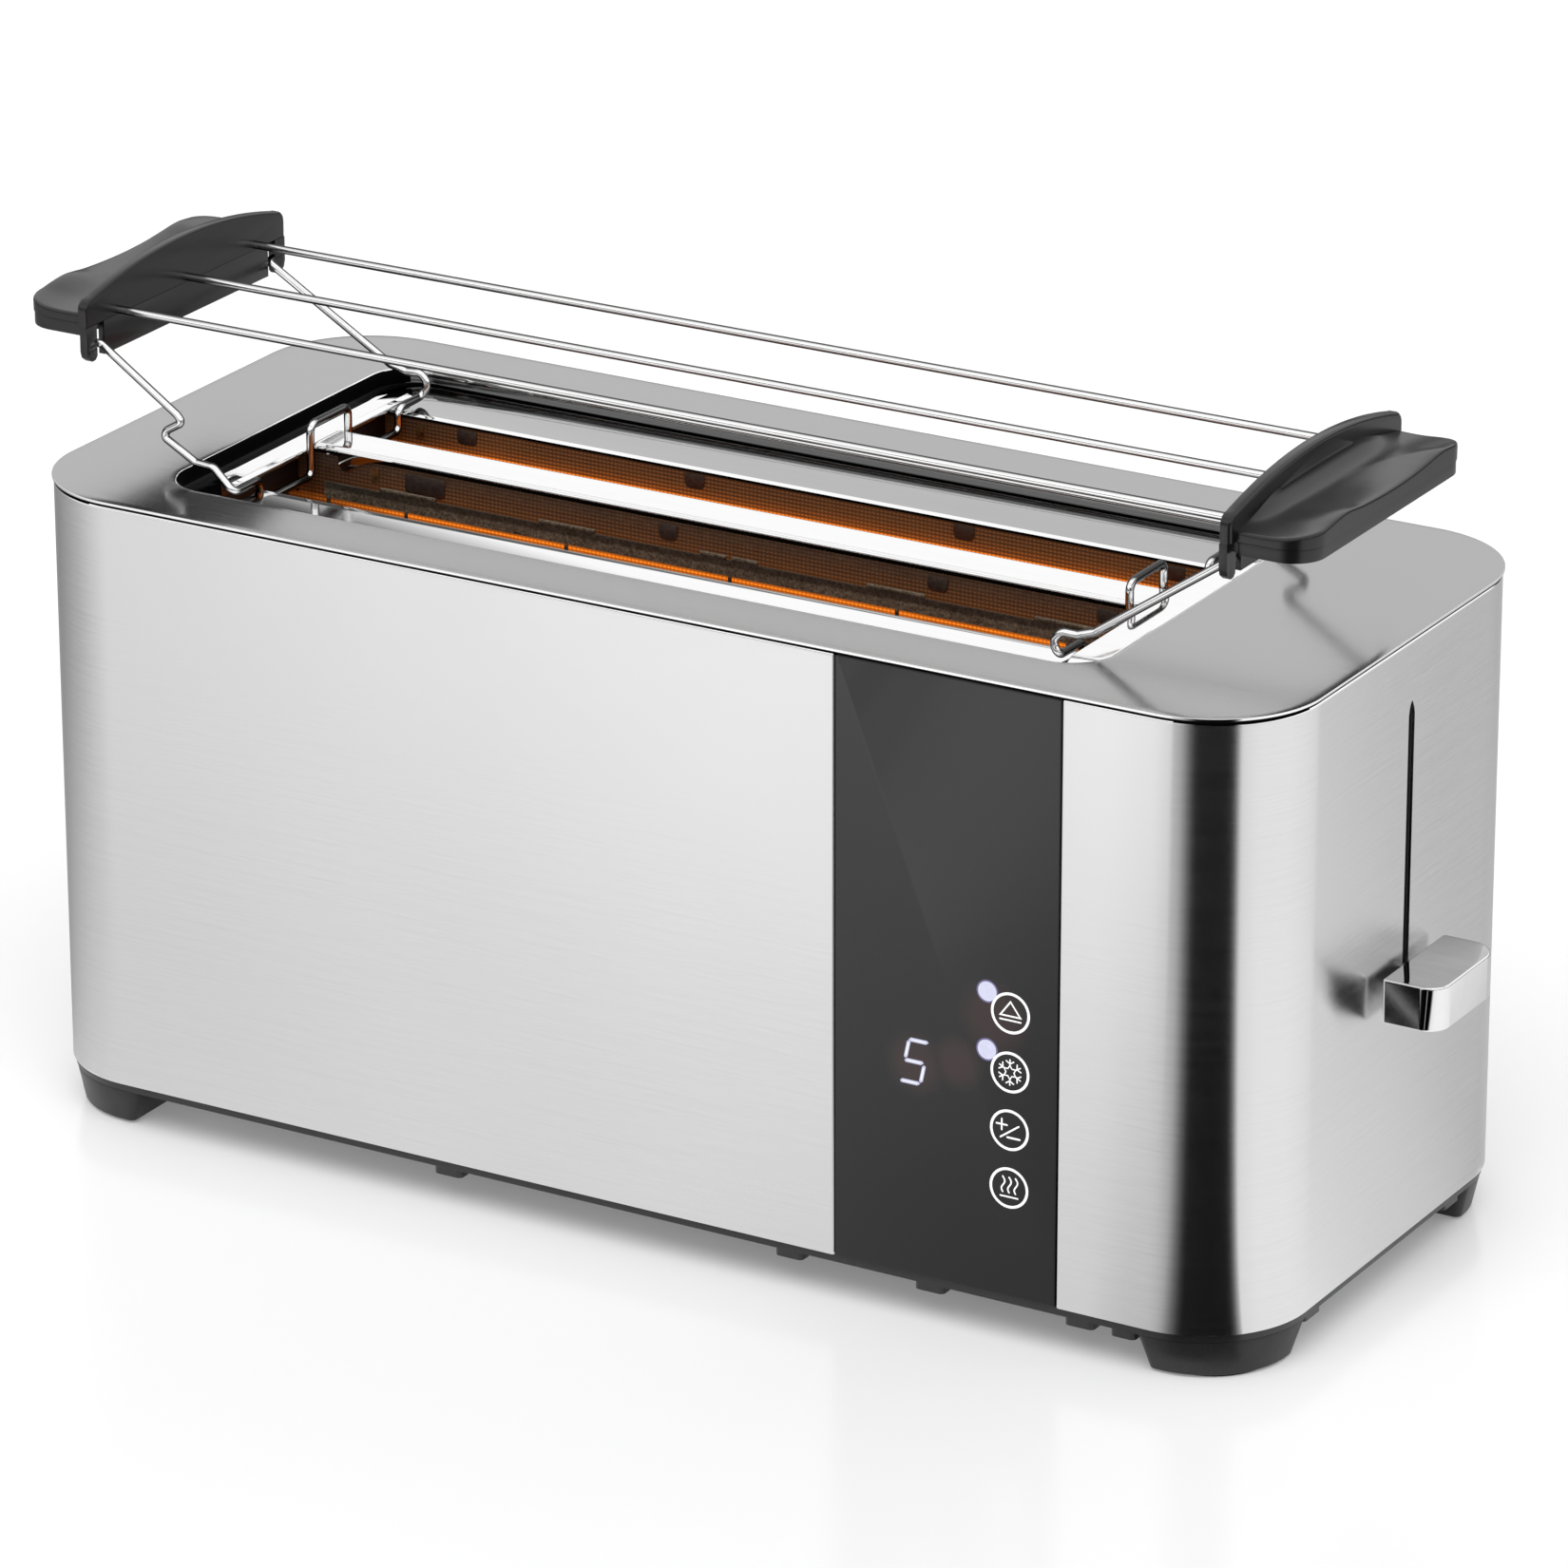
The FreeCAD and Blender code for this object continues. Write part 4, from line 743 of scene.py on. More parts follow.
# ------------------------------------------------------------------ polished slot frame
def make_slot_frame():
    g, r = 0.75, REC_R + 0.75
    x0, x1, hy = REC_X0 - g, REC_X1 + g, REC_HY + g

    def top(y):
        a = abs(y)
        return FRAME_LO if a <= 41.0 else FRAME_LO + (FRAME_HI - FRAME_LO) * (a - 41.0) / (hy - 41.0)
    # outline with the slope's fold lines, upper and lower sheets
    loop = rloop(x0, x1, -hy, hy, r, 0, 14)
    n14 = 15
    front = loop[:2 * n14]
    back = loop[2 * n14:]
    verts, faces = [], []

    def add(p, lower):
        verts.append((p[0], p[1], top(p[1]) - (0.8 if lower else 0.0)))
        return len(verts) - 1
    for lower in (False, True):
        # front strip from its left corner arc to its right one, back strip, and the flat middle
        faces.append([add(p, lower) for p in front] + [add((x1, -41.0), lower), add((x0, -41.0), lower)])
        faces.append([add(p, lower) for p in back] + [add((x0, 41.0), lower), add((x1, 41.0), lower)])
        faces.append([add(p, lower) for p in ((x0, -41.0), (x1, -41.0), (x1, 41.0), (x0, 41.0))])
    rim = front + [(x1, -41.0, 0), (x1, 41.0, 0)] + back + [(x0, 41.0, 0), (x0, -41.0, 0)]
    for i in range(len(rim)):
        p, q = rim[i], rim[(i + 1) % len(rim)]
        faces.append([add(p, False), add(q, False), add(q, True), add(p, True)])
    ob = add_object("slot_frame_shell", raw_mesh("slot_frame_shell", verts, [tuple(f) for f in faces]))
    cut = []
    for s in (-1, 1):
        ya, yb = sorted((s * SLOT_IN, s * SLOT_OUT))
        cut.append(prism("c", [(p[0], p[1]) for p in rloop(SLOT_X0, SLOT_X1, ya, yb, 1.4, 0, 8)], 2, 180.0, 192.0))
    # a pressed line parallel to each end of the slots
    for x in (SLOT_X0 - 2.6, SLOT_X1 + 2.6):
        cut.append(prism("c", [(p[0], p[1]) for p in rloop(x - 0.17, x + 0.17, -40.0, 40.0, 0.16, 0, 3)], 2, 186.12, 187.0))
    boolean(ob, cut)
    tidy(ob)
    bevel(ob, 0.36, 4, angle=38)
    finish_piece(ob, "body", M["polished"], ("slot_frame",), angle=34)
    # painted shade: the flat behind the rear slot gets a darker copy of the polished steel, and the steep faces at the
    # slots a near-black one for their shadow
    ob.data.materials.append(M["strip"])
    ob.data.materials.append(M["gap"])
    for p in ob.data.polygons:
        c = p.center / MM
        if c.y > SLOT_OUT + 0.4 and p.normal.z > 0.98 and c.y < 58.5:
            p.material_index = 1
        elif p.normal.z < 0.35 and abs(c.y) < SLOT_OUT + 0.6:
            p.material_index = 2
    return ob


make_slot_frame()


def make_frame_end():
    """The frame's raised right end: level with the bridge, its flanks easing down into the long strips."""
    cx, cy, R = END_X1 - 11.5, REC_HY - 1.5 - 11.5, 11.5

    def far_x(y):
        a = abs(y)
        return END_X1 if a <= cy else cx + math.sqrt(max(0.0, R * R - (a - cy) ** 2))

    def top(y):
        t = min(1.0, max(0.0, (abs(y) - 51.0) / 8.2))
        return BRIDGE_Z + (187.15 - BRIDGE_Z) * t * t * (3 - 2 * t)
    ys = [-59.2 + 0.4 * i for i in range(24)] + [-49.6, -44, -30, -12, 0, 12, 30, 44, 49.6] + [50.0 + 0.4 * i for i in range(24)]
    rings = []
    for y in ys:
        z, x1, r = top(y), far_x(y), 0.6
        ring = [(END_X0, y, min(z - 0.7, 186.9))]
        for k in range(5):
            t = math.radians(90 * k / 4)
            ring.append((END_X0 + r * (1 - math.cos(t)), y, z - r + r * math.sin(t)))
        for k in range(4, -1, -1):
            t = math.radians(90 * k / 4)
            ring.append((x1 - r * (1 - math.cos(t)), y, z - r + r * math.sin(t)))
        ring.append((x1, y, min(z - 0.7, 186.9)))
        rings.append(ring)
    v, f = loft(rings)
    return piece("slot_frame_end", v, f, "body", M["polished"], angle=34)


make_frame_end()


def make_left_end():
    """The frame's raised left end: flat, its inner edge folded down a little, its corners cut."""
    lo = [(LEFT_X0, -38.0), (-156.2, -41.6), (-154.4, -44.8), (-152.2, -46.9), (-150.0, -47.6)]
    path = [(0.0, 38.0), (0.8, 41.6), (2.6, 44.8), (4.8, 46.9), (7.0, 47.6), (8.6, 47.6)]
    xs, ys = [p[0] for p in path], [p[1] for p in path]
    rings = []
    us = [0.0, 0.1, 0.3, 0.6, 1.2, 2.0, 3.2, 4.4, 5.4, 6.2, 6.7, 6.8, 6.9, 7.4, 8.0, 8.3, 8.5, 8.6]
    for u in us:
        hy = float(np.interp(u, xs, ys))
        z = LEFT_Z - (0.0 if u > 0.6 else 0.6 - math.sqrt(max(0.0, 0.36 - (0.6 - u) ** 2)))
        if u > 6.8:
            z -= (u - 6.8) * 0.25
        if u > 8.2:
            z -= 0.4 - math.sqrt(max(0.0, 0.16 - (u - 8.2) ** 2))
        d = 0.5
        ring = [(LEFT_X0 + u, -hy, z - 0.75), (LEFT_X0 + u, -hy, z - d), (LEFT_X0 + u, -hy + 0.15, z - 0.15), (LEFT_X0 + u, -hy + d, z)]
        ring += [(LEFT_X0 + u, -hy + d + (2 * hy - 2 * d) * k / 12, z) for k in range(1, 12)]
        ring += [(LEFT_X0 + u, hy - d, z), (LEFT_X0 + u, hy - 0.15, z - 0.15), (LEFT_X0 + u, hy, z - d), (LEFT_X0 + u, hy, z - 0.75)]
        rings.append(ring)
    v, f = loft(rings)
    piece("slot_frame_left_end", v, f, "body", M["polished"], angle=34)
    # the upright that carries it
    v, f = loft([[(x, y, z) for x, y in ((LEFT_X0 + 0.1, -38.0), (-156.1, -41.5), (-154.4, -44.6), (-154.1, -44.6), (-154.1, 44.6), (-154.4, 44.6),
                                        (-156.1, 41.5), (LEFT_X0 + 0.1, 38.0))] for z in (186.1, 187.2, LEFT_Z - 0.75)])
    # painted shade: the upright takes the darker steel used for the recess
    piece("slot_frame_left_upright", v, f, "body", M["skirt"], angle=34)


make_left_end()


# ------------------------------------------------------------------ raised bridge between the slots
def make_bridge():
    x0, x1, hy = BRIDGE_X0, BRIDGE_X1, BRIDGE_HY

    def ring(d, z, r=1.5):
        return rloop(x0 + d, x1 - d * 0.12, -hy + d, hy - d, [max(0.3, r - d * 0.6), 0.1, 0.1, max(0.3, r - d * 0.6)], z, 6)
    R = 1.35
    rings = [ring(0.75, 188.6), ring(0.55, 188.42), ring(0.2, 188.42), ring(0.0, 188.6), ring(0.0, BRIDGE_Z - R)]
    for k in range(1, 7):
        a = math.radians(90 * k / 6)
        rings.append(ring(R * (1 - math.cos(a)), BRIDGE_Z - R + R * math.sin(a)))
    rings.append(ring(R + 0.6, BRIDGE_Z))
    v, f = loft(rings + [ring(R + 0.62, BRIDGE_Z - 0.75), ring(1.0, BRIDGE_Z - 1.5), ring(0.8, BRIDGE_Z - 1.9)], loop=True)
    # close the flat top and its underside
    n = len(rings[0])
    ti, bi = len(rings) - 1, len(rings)
    f = [q for q in f if not (min(q) // n == ti and max(q) // n == bi)]
    f.append(tuple(range(ti * n, ti * n + n)))
    f.append(tuple(range(bi * n, bi * n + n)))
    ob = piece("centre_bridge_shell", v, f, "body", M["polished"], ("centre_bridge",), angle=34)
    # painted shadow: the bridge's lower faces, under its rounded edge, are near-black
    ob.data.materials.append(M["gap"])
    for p in ob.data.polygons:
        if p.center.z / MM < BRIDGE_Z - 1.25 and p.center.x / MM > x0 + 3.0:
            p.material_index = 1
    return ob


make_bridge()


def make_bridge_web():
    """Upright web under the bridge that carries it from the slot frame."""
    v, f = loft([rloop(-136.0, BRIDGE_X1 - 3, -2.0, 2.0, 0.4, z, 3) for z in (FRAME_LO - 0.05, BRIDGE_Z - 0.9)])
    return piece("centre_bridge_web", v, f, "body", M["polished"])


make_bridge_web()


def make_bridge_cheeks():
    """Hooked cheeks that hang down beside the bridge at its left end."""
    pts = [(-138.4, 189.9), (-138.4, 187.4), (-138.2, 186.2), (-137.8, 185.3), (-137.3, 184.7), (-136.7, 184.35), (-136.0, 184.2),
           (-135.2, 184.35), (-134.6, 184.7), (-133.0, 185.8), (-130.6, 187.1), (-128.1, 188.1), (-125.8, 188.8), (-123.5, 189.25),
           (-121.6, 189.6), (-119.7, 189.85)]
    for k, s in (("front", -1), ("rear", 1)):
        a, b = sorted((s * (BRIDGE_HY - 0.25), s * (BRIDGE_HY + 0.7)))
        ob = prism("centre_bridge_cheek_" + k, pts, 1, a, b)
        bevel(ob, 0.2, 3)
        finish_piece(ob, "body", M["polished"], angle=34)


make_bridge_cheeks()


# ------------------------------------------------------------------ lever knob
def make_knob():
    x0, x1, ya, yb = 202.2, 220.0, LEVER_Y - 19.0, LEVER_Y + 19.0
    za, zb = LEVER_Z - 6.5, LEVER_Z + 6.5
    rs = [1.2, 6.5, 9.0, 1.2]

    def ring(d, z):
        return rloop(x0 + d, x1 - d, ya + d, yb - d, [max(0.25, q - d) for q in rs], z, 24)
    R = 0.7
    rings = []
    for k in range(6):
        a = math.radians(90 * k / 5)
        rings.append(ring(R * (1 - math.sin(a)), za + R * (1 - math.cos(a))))
    for k in range(6):
        a = math.radians(90 * k / 5)
        rings.append(ring(R * (1 - math.cos(a)), zb - R + R * math.sin(a)))
    v, f = loft(rings)
    ob = add_object("lever_knob_shell", raw_mesh("lever_knob_shell", v, f))
    boolean(ob, [prism("c", [(195.0, LEVER_Y - 1.3), (x0 + 9.0, LEVER_Y - 1.3), (x0 + 9.0, LEVER_Y + 1.3), (195.0, LEVER_Y + 1.3)],
                       2, LEVER_Z - 3.5, LEVER_Z + 3.5)])
    finish_piece(ob, "carriage", M["knob"], ("lever_knob",), angle=34)
    # painted shade: the flat top gets a darker copy of the knob's steel, standing for the darker reflection it shows
    ob.data.materials.append(M["knob_top"])
    for p in ob.data.polygons:
        if p.normal.z > 0.97:
            p.material_index = 1
    return ob


make_knob()


# ------------------------------------------------------------------ control panel and what shows on it
def make_panel():
    x0, x1, y0, y1, z0, z1 = PANEL_X0, PANEL_X1, -84.0, -82.2, 14.2, 190.8

    def ring(d, y):
        return [(p[0], y, p[1]) for p in rloop(x0 + d, x1 - d, z0 + d, z1 - d, 0.5, 0, 4)]
    rings = [ring(0.12, y1), ring(0.0, y1 - 0.15), ring(0.0, y0 + 0.3), ring(0.09, y0 + 0.09), ring(0.3, y0)]
    v, f = loft(rings)
    piece("control_panel_glass", v, f, "body", M["glass"], ("control_panel",), angle=40)


make_panel()
PY = -84.0


def flat_stroke(points, width, closed=False, caps=6):
    """A flat pen line in the panel plane: list of (x, z) to one polygon outline strip with round ends."""
    pts = [Vector(p) for p in points]
    n = len(pts)
    left, right = [], []
    for i in range(n):
        if closed:
            a, b = pts[(i - 1) % n], pts[(i + 1) % n]
            d0, d1 = (pts[i] - a).normalized(), (b - pts[i]).normalized()
        else:
            d0 = (pts[i] - pts[i - 1]).normalized() if i else (pts[1] - pts[0]).normalized()
            d1 = (pts[i + 1] - pts[i]).normalized() if i < n - 1 else d0
        t = (d0 + d1).normalized()
        nrm = Vector((-t.y, t.x))
        k = width / 2 / max(0.35, abs(nrm.dot(Vector((-d0.y, d0.x)))))
        left.append(pts[i] + nrm * k)
        right.append(pts[i] - nrm * k)
    if closed:
        return left, right
    cap0, cap1 = [], []
    t0, t1 = (pts[1] - pts[0]).normalized(), (pts[-1] - pts[-2]).normalized()
    for k in range(1, caps):
        a = math.pi * k / caps
        cap1.append(pts[-1] + Vector((-t1.y, t1.x)) * (width / 2 * math.cos(a)) + t1 * (width / 2 * math.sin(a)))
        cap0.append(pts[0] - Vector((-t0.y, t0.x)) * (width / 2 * math.cos(a)) - t0 * (width / 2 * math.sin(a)))
    return left + cap1 + right[::-1] + cap0


class Plate:
    """Collects thin printed shapes that stand a few hundredths of a millimetre off the panel."""

    def __init__(self, y_in, y_out):
        self.v, self.f, self.a, self.b = [], [], y_in, y_out

    def polygon(self, outline):
        n, s = len(outline), len(self.v)
        self.v += [(p[0], self.a, p[1]) for p in outline] + [(p[0], self.b, p[1]) for p in outline]
        self.f.append(tuple(range(s, s + n)))
        self.f.append(tuple(range(s + 2 * n - 1, s + n - 1, -1)))
        self.f += [(s + i, s + (i + 1) % n, s + n + (i + 1) % n, s + n + i) for i in range(n)]

    def ring(self, outer, inner):
        n, s = len(outer), len(self.v)
        for y in (self.a, self.b):
            self.v += [(p[0], y, p[1]) for p in outer] + [(p[0], y, p[1]) for p in inner]
        for i in range(n):
            j = (i + 1) % n
            o0, i0, o1, i1 = s, s + n, s + 2 * n, s + 3 * n
            self.f += [(o0 + i, o0 + j, i0 + j, i0 + i), (o1 + i, i1 + i, i1 + j, o1 + j), (o0 + i, o1 + i, o1 + j, o0 + j),
                       (i0 + i, i0 + j, i1 + j, i1 + i)]

    def line(self, points, width, closed=False):
        r = flat_stroke(points, width, closed)
        if closed:
            self.ring(*r)
        else:
            self.polygon(r)


def circle(cx, cz, r, n=64):
    return [(cx + r * math.cos(2 * math.pi * k / n), cz + r * math.sin(2 * math.pi * k / n)) for k in range(n)]


def make_icons():
    P = Plate(PY + 0.02, PY - 0.03)
    cx = ICON_X
    W = 0.46
    for z in ICON_Z:
        P.ring(circle(cx, z, 6.0, 72), circle(cx, z, 5.22, 72))
    z = ICON_Z[0]                                                  # cancel: triangle over a line
    P.line([(cx, z + 3.3), (cx + 3.1, z - 0.85), (cx - 3.1, z - 0.85)], W, closed=True)
    P.line([(cx - 3.2, z - 2.1), (cx + 3.2, z - 2.1)], W)
    z = ICON_Z[1]                                                  # defrost: snowflake with an open middle
    for k in range(6):
        a = math.radians(90 + 60 * k)
        def at(r, t):
            return (cx + r * math.cos(a + t), z + r * math.sin(a + t))
        P.line([at(2.15, 0), at(3.7, 0)], 0.38)
        P.line([at(3.45, 0.34), at(2.5, 0.0), at(3.45, -0.34)], 0.38)
    star = []
    for k in range(12):
        a = math.radians(90 + 30 * k)
        r = 2.1 if k % 2 == 0 else 1.22
        star.append((cx + r * math.cos(a), z + r * math.sin(a)))
    P.line(star, 0.34, closed=True)
    z = ICON_Z[2]                                                  # browning: plus over minus
    P.line([(cx - 4.0, z + 1.35), (cx - 0.75, z + 1.35)], 0.5)
    P.line([(cx - 2.38, z - 0.25), (cx - 2.38, z + 2.95)], 0.5)
    P.line([(cx - 2.75, z - 2.45), (cx + 2.85, z + 1.6)], 0.5)
    P.line([(cx - 0.6, z - 2.2), (cx + 3.2, z - 2.2)], 0.56)
    z = ICON_Z[3]                                                  # warm: three waves over a line
    for dx in (-1.9, 0.08, 2.06):
        pts = []
        for k in range(17):
            t = k / 16
            pts.append((cx + dx + 0.1 + 0.52 * math.sin(2 * math.pi * t - 0.25) * (1 if t < 0.97 else 0.9), z + 3.15 - 4.55 * t))
        P.line(pts, W)
    P.line([(cx - 2.65, z - 2.65), (cx + 2.75, z - 2.65)], W)
    return piece("panel_icons", P.v, P.f, "body", M["print"], angle=30)


make_icons()


def make_lights():
    D, C, H = Plate(PY + 0.02, PY - 0.03), Plate(PY, PY - 0.045), Plate(PY + 0.02, PY - 0.02)
    sl = (93.75 - 91.15) / 12.7                                    # slant of the digit

    def seg(x0, x1, z, w=1.22):
        h = w / 2
        D.polygon([(x0 - 0.25 + 0 * sl, z), (x0 + 0.35 + h * sl, z + h), (x1 - 0.1 + h * sl, z + h), (x1 + 0.5, z),
                   (x1 - 0.3 - h * sl, z - h), (x0 + 0.25 - h * sl, z - h)])
        C.line([(x0 + 0.7, z + 0.02), (x1 - 0.55, z + 0.02)], 0.4)

    def bar(x0, z0, z1, w=1.15):
        h = w / 2
        k = z1 - z0
        D.polygon([(x0, z0), (x0 + h + 0.35 * sl, z0 + 0.45), (x0 + h + (k - 0.45) * sl, z1 - 0.45), (x0 + k * sl, z1),
                   (x0 - h + (k - 0.45) * sl, z1 - 0.45), (x0 - h + 0.35 * sl, z0 + 0.45)])
        C.line([(x0 + 0.9 * sl, z0 + 1.0), (x0 + (k - 1.0) * sl, z1 - 1.0)], 0.5)
    seg(94.0, 99.5, 83.75)
    bar(92.75, 78.0, 83.5)
    seg(92.7, 98.0, 77.45)
    bar(97.55, 71.6, 77.0)
    seg(91.35, 96.9, 71.2)
    piece("display_digit", D.v, D.f, "body", M["digit"])
    piece("display_digit_core", C.v, C.f, "body", M["digit_core"])
    L = Plate(PY + 0.02, PY - 0.035)
    for z in LED_Z:
        L.polygon(circle(LED_X - 0.25, z + 0.05, 2.85, 48))
        # painted glow: a faint ring of light round each lamp on the glass
        H.ring(circle(LED_X - 0.25, z + 0.05, 3.35, 48), circle(LED_X - 0.25, z + 0.05, 2.85, 48))
    piece("status_lamps", L.v, L.f, "body", M["lamp"])
    piece("status_lamp_halos", H.v, H.f, "body", M["lamp_halo"])


make_lights()

# ------------------------------------------------------------------ bun rack handles
FOOT = hermite([-48, -30, -10, 10, 30, 48], [41.9, 42.3, 42.7, 42.8, 42.5, 42.1])
EDGE = hermite([-48, -38, -31, -25, -16, 0, 14, 22, 30, 38, 48], [42.7, 43.3, 44.2, 44.5, 43.9, 43.6, 43.9, 44.4, 44.8, 44.2, 43.0])
SCOOP = [(206.6, -26.0), (203.3, -21.5), (199.4, -16.7), (196.4, -11.6), (193.8, -6.4), (191.9, -0.8), (190.9, 5.2), (191.0, 11.4),
         (192.3, 17.4), (194.9, 22.8), (198.6, 27.0), (202.6, 30.2), (206.6, 32.8)]
SC_Y = [p[1] for p in SCOOP]
SC_U = [p[0] for p in SCOOP]


FACE_U = RACK_U + FENCE_T                                      # the fence's outer face
SWEEP = 6.8


def handle_top(u, y):
    """Height of the grip's upper surface, u outward from the rack's middle."""
    t = min(1.0, max(0.0, (u - FACE_U) / (RACK_OUT - FACE_U)))
    s = t * t * (3 - 2 * t)
    z = 191.0 + FOOT(y) + (EDGE(y) - FOOT(y)) * s
    z -= 0.8 * math.sin(math.pi * min(1.0, t * 1.08)) ** 1.3 * (0.55 + 0.45 * math.cos(y / 48 * math.pi / 2))
    if SC_Y[0] < y < SC_Y[-1]:
        ub = float(np.interp(y, SC_Y, SC_U))
        if u > ub:
            q = (u - ub) / (RACK_OUT - ub + 1e-6)
            z -= 1.15 * (RACK_OUT - ub) / 17.2 * (q ** 1.15) * (1 - 0.25 * q)
    # concave sweep up to the crease on the fence's outer face
    if u < FACE_U + SWEEP:
        q = min(1.0, (FACE_U + SWEEP - u) / SWEEP)
        h = 238.5 - 0.00158 * y * y - (191.0 + FOOT(y))
        e = min(1.0, max(0.0, (48.0 - abs(y)) / 24.0))
        z += h * (0.35 * q * q + 0.65 * q ** 4.5) * e * e * (3 - 2 * e)
    return min(z, 240.0)


def make_handle(side, s):
    def X(u):
        return RACK_C + s * u

    def Y(y):
        return y
    # grip: outline rings, then a triangulated top that follows the height above
    ua, ub, hy, R = FACE_U - 1.9, RACK_OUT, 48.0, 10.0

    def outline(d):
        o = []
        for p in rloop(ua, ub - d, -hy + d, hy - d, [0.4, R - d, R - d, 0.4], 0, 14):
            o.append((p[0], p[1]))
        dense = []
        for i in range(len(o)):
            p, q = o[i], o[(i + 1) % len(o)]
            m = max(1, int(math.dist(p, q) / 1.6))
            for k in range(m):
                dense.append((p[0] + (q[0] - p[0]) * k / m, p[1] + (q[1] - p[1]) * k / m))
        return dense
    base = outline(0.0)
    cnt = len(base)

    def inset(d):
        out = []
        for i in range(cnt):
            a, b = Vector(base[(i - 1) % cnt]), Vector(base[(i + 1) % cnt])
            t = (b - a).normalized()
            nrm = Vector((-t.y, t.x))
            p = Vector(base[i])
            f = 0.0 if p.x < ua + 0.6 else 1.0
            out.append((p.x + nrm.x * d * f, p.y + nrm.y * d * f))
        return out

    def rim_h(p):
        return handle_top(min(p[0], RACK_OUT - 0.9), max(-47.2, min(47.2, p[1])))
    rings = []
    for d, dz in ((0.32, None), (0.05, None), (0.0, -0.95), (0.09, -0.5), (0.33, -0.18), (0.68, -0.03), (0.95, 0.0)):
        o = inset(d)
        if dz is None:
            rings.append([(p[0], p[1], SEAM + (0.0 if d > 0.1 else 0.22)) for p in o])
        else:
            rings.append([(p[0], p[1], rim_h(p) + dz) for p in o])
    v, f = [], []
    for r in rings:
        v += r
    for k in range(len(rings) - 1):
        for i in range(cnt):
            j = (i + 1) % cnt
            f.append((k * cnt + i, k * cnt + j, (k + 1) * cnt + j, (k + 1) * cnt + i))
    f.append(tuple(range(cnt)))
    last = [(p[0], p[1]) for p in rings[-1]]
    pts = [Vector(p) for p in last]
    faces_in = [list(range(cnt))]
    edges = []
    crease = []
    for i in range(len(SCOOP) - 1):
        for k in range(4):
            t = k / 4
            crease.append((SCOOP[i][0] * (1 - t) + SCOOP[i + 1][0] * t, SCOOP[i][1] * (1 - t) + SCOOP[i + 1][1] * t))
    crease = [p for p in crease if p[0] < RACK_OUT - 1.9]
    s0 = len(pts)
    pts += [Vector(p) for p in crease]
    edges += [(s0 + i, s0 + i + 1) for i in range(len(crease) - 1)]
    step = 1.25
    yy = -46.6
    while yy < 46.7:
        uu = ua + 0.8
        while uu < ub - 1.6:
            corner = 0.0
            if abs(yy) > 38 and uu > 197:
                corner = math.hypot(abs(yy) - 38, uu - 197)
            near = min(math.dist((uu, yy), c) for c in crease)
            if corner < 8.4 and near > 0.55:
                pts.append(Vector((uu, yy)))
            uu += step if uu > FACE_U + SWEEP else 0.55
        yy += step
    co, _, tri, _, _, _ = delaunay_2d_cdt(pts, edges, faces_in, 1, 1e-5)
    s1 = len(v)
    ring_start = (len(rings) - 1) * cnt
    for i, p in enumerate(co):
        v.append((p.x, p.y, rings[-1][i][2] if i < cnt and (Vector(last[i]) - p).length < 1e-4 else handle_top(p.x, p.y)))
    for t in tri:
        f.append(tuple(s1 + i for i in t))
    grip = add_object(side + "_handle_grip", raw_mesh(side, [(X(a), Y(b), c) for a, b, c in v], f))
    # fence: arched plate with rounded edges, the outer side rounder than the inner
    outl = []
    n = 56
    for k in range(n + 1):
        y = -(FH - FENCE_R) + 2 * (FH - FENCE_R) * k / n
        outl.append((y, FENCE_TOP - FENCE_ARCH * y * y))
    zt = outl[-1][1]
    right = [(FH - FENCE_R + FENCE_R * math.sin(math.radians(a)), zt - FENCE_R + FENCE_R * math.cos(math.radians(a))) for a in range(16, 91, 8)]
    if right[-1][0] < FH:
        right.append((FH, zt - FENCE_R))
    left = [(-y, z) for y, z in right[::-1]]
    lowz = SEAM + 0.02
    loop2 = left[::1] + outl + right + [(FH, SEAM + 3.0), (FH, lowz), (0.0, lowz), (-FH, lowz), (-FH, SEAM + 3.0)]
    m = len(loop2)

    def fring(u, d):
        out = []
        for i in range(m):
            a, b = Vector(loop2[(i - 1) % m]), Vector(loop2[(i + 1) % m])
            t = (b - a).normalized()
            nrm = Vector((t.y, -t.x))
            y, z = loop2[i]
            k = d
            if z < SEAM + 0.5:
                nrm = Vector((-1.0 if y > 1 else (1.0 if y < -1 else 0.0), 0.0))
                out.append((u, y + nrm.x * k, z + min(d, 0.22)))
            else:
                out.append((u, y + nrm.x * k, z + nrm.y * k))
        return out
    ri, ro = 0.75, 1.3
    fr = []
    for k in range(5):
        a = math.radians(90 * k / 4)
        fr.append(fring(RACK_U + ri * (1 - math.cos(a)), ri * (1 - math.sin(a))))
    for k in range(7):
        a = math.radians(90 * k / 6)
        fr.append(fring(RACK_U + FENCE_T - ro + ro * math.sin(a), ro * (1 - math.cos(a))))
    fv, ff = loft(fr)
    fence = add_object(side + "_fence", raw_mesh(side + "_f", [(X(a), Y(b), c) for a, b, c in fv], ff))
    ob = add_object(side + "_handle_upper_shell", grip.data.copy())
    bpy.data.objects.remove(grip)
    boolean(ob, [fence], "UNION")
    for y in (-35.3, 0.0, 35.3):
        hole = prism("c", [(y + 1.21 * math.cos(2 * math.pi * k / 24), 231.4 + 1.21 * math.sin(2 * math.pi * k / 24)) for k in range(24)],
                     0, X(172.0), X(RACK_U + 6.05))
        boolean(ob, [hole])
    return finish_piece(ob, "bun_rack", M["handle"], (side + "_handle_upper",), angle=26)


make_handle("left", -1)
make_handle("right", 1)
refine("left_handle_lower", "bun_rack", "handle", 0.45, 3)
refine("right_handle_lower", "bun_rack", "handle", 0.45, 3)

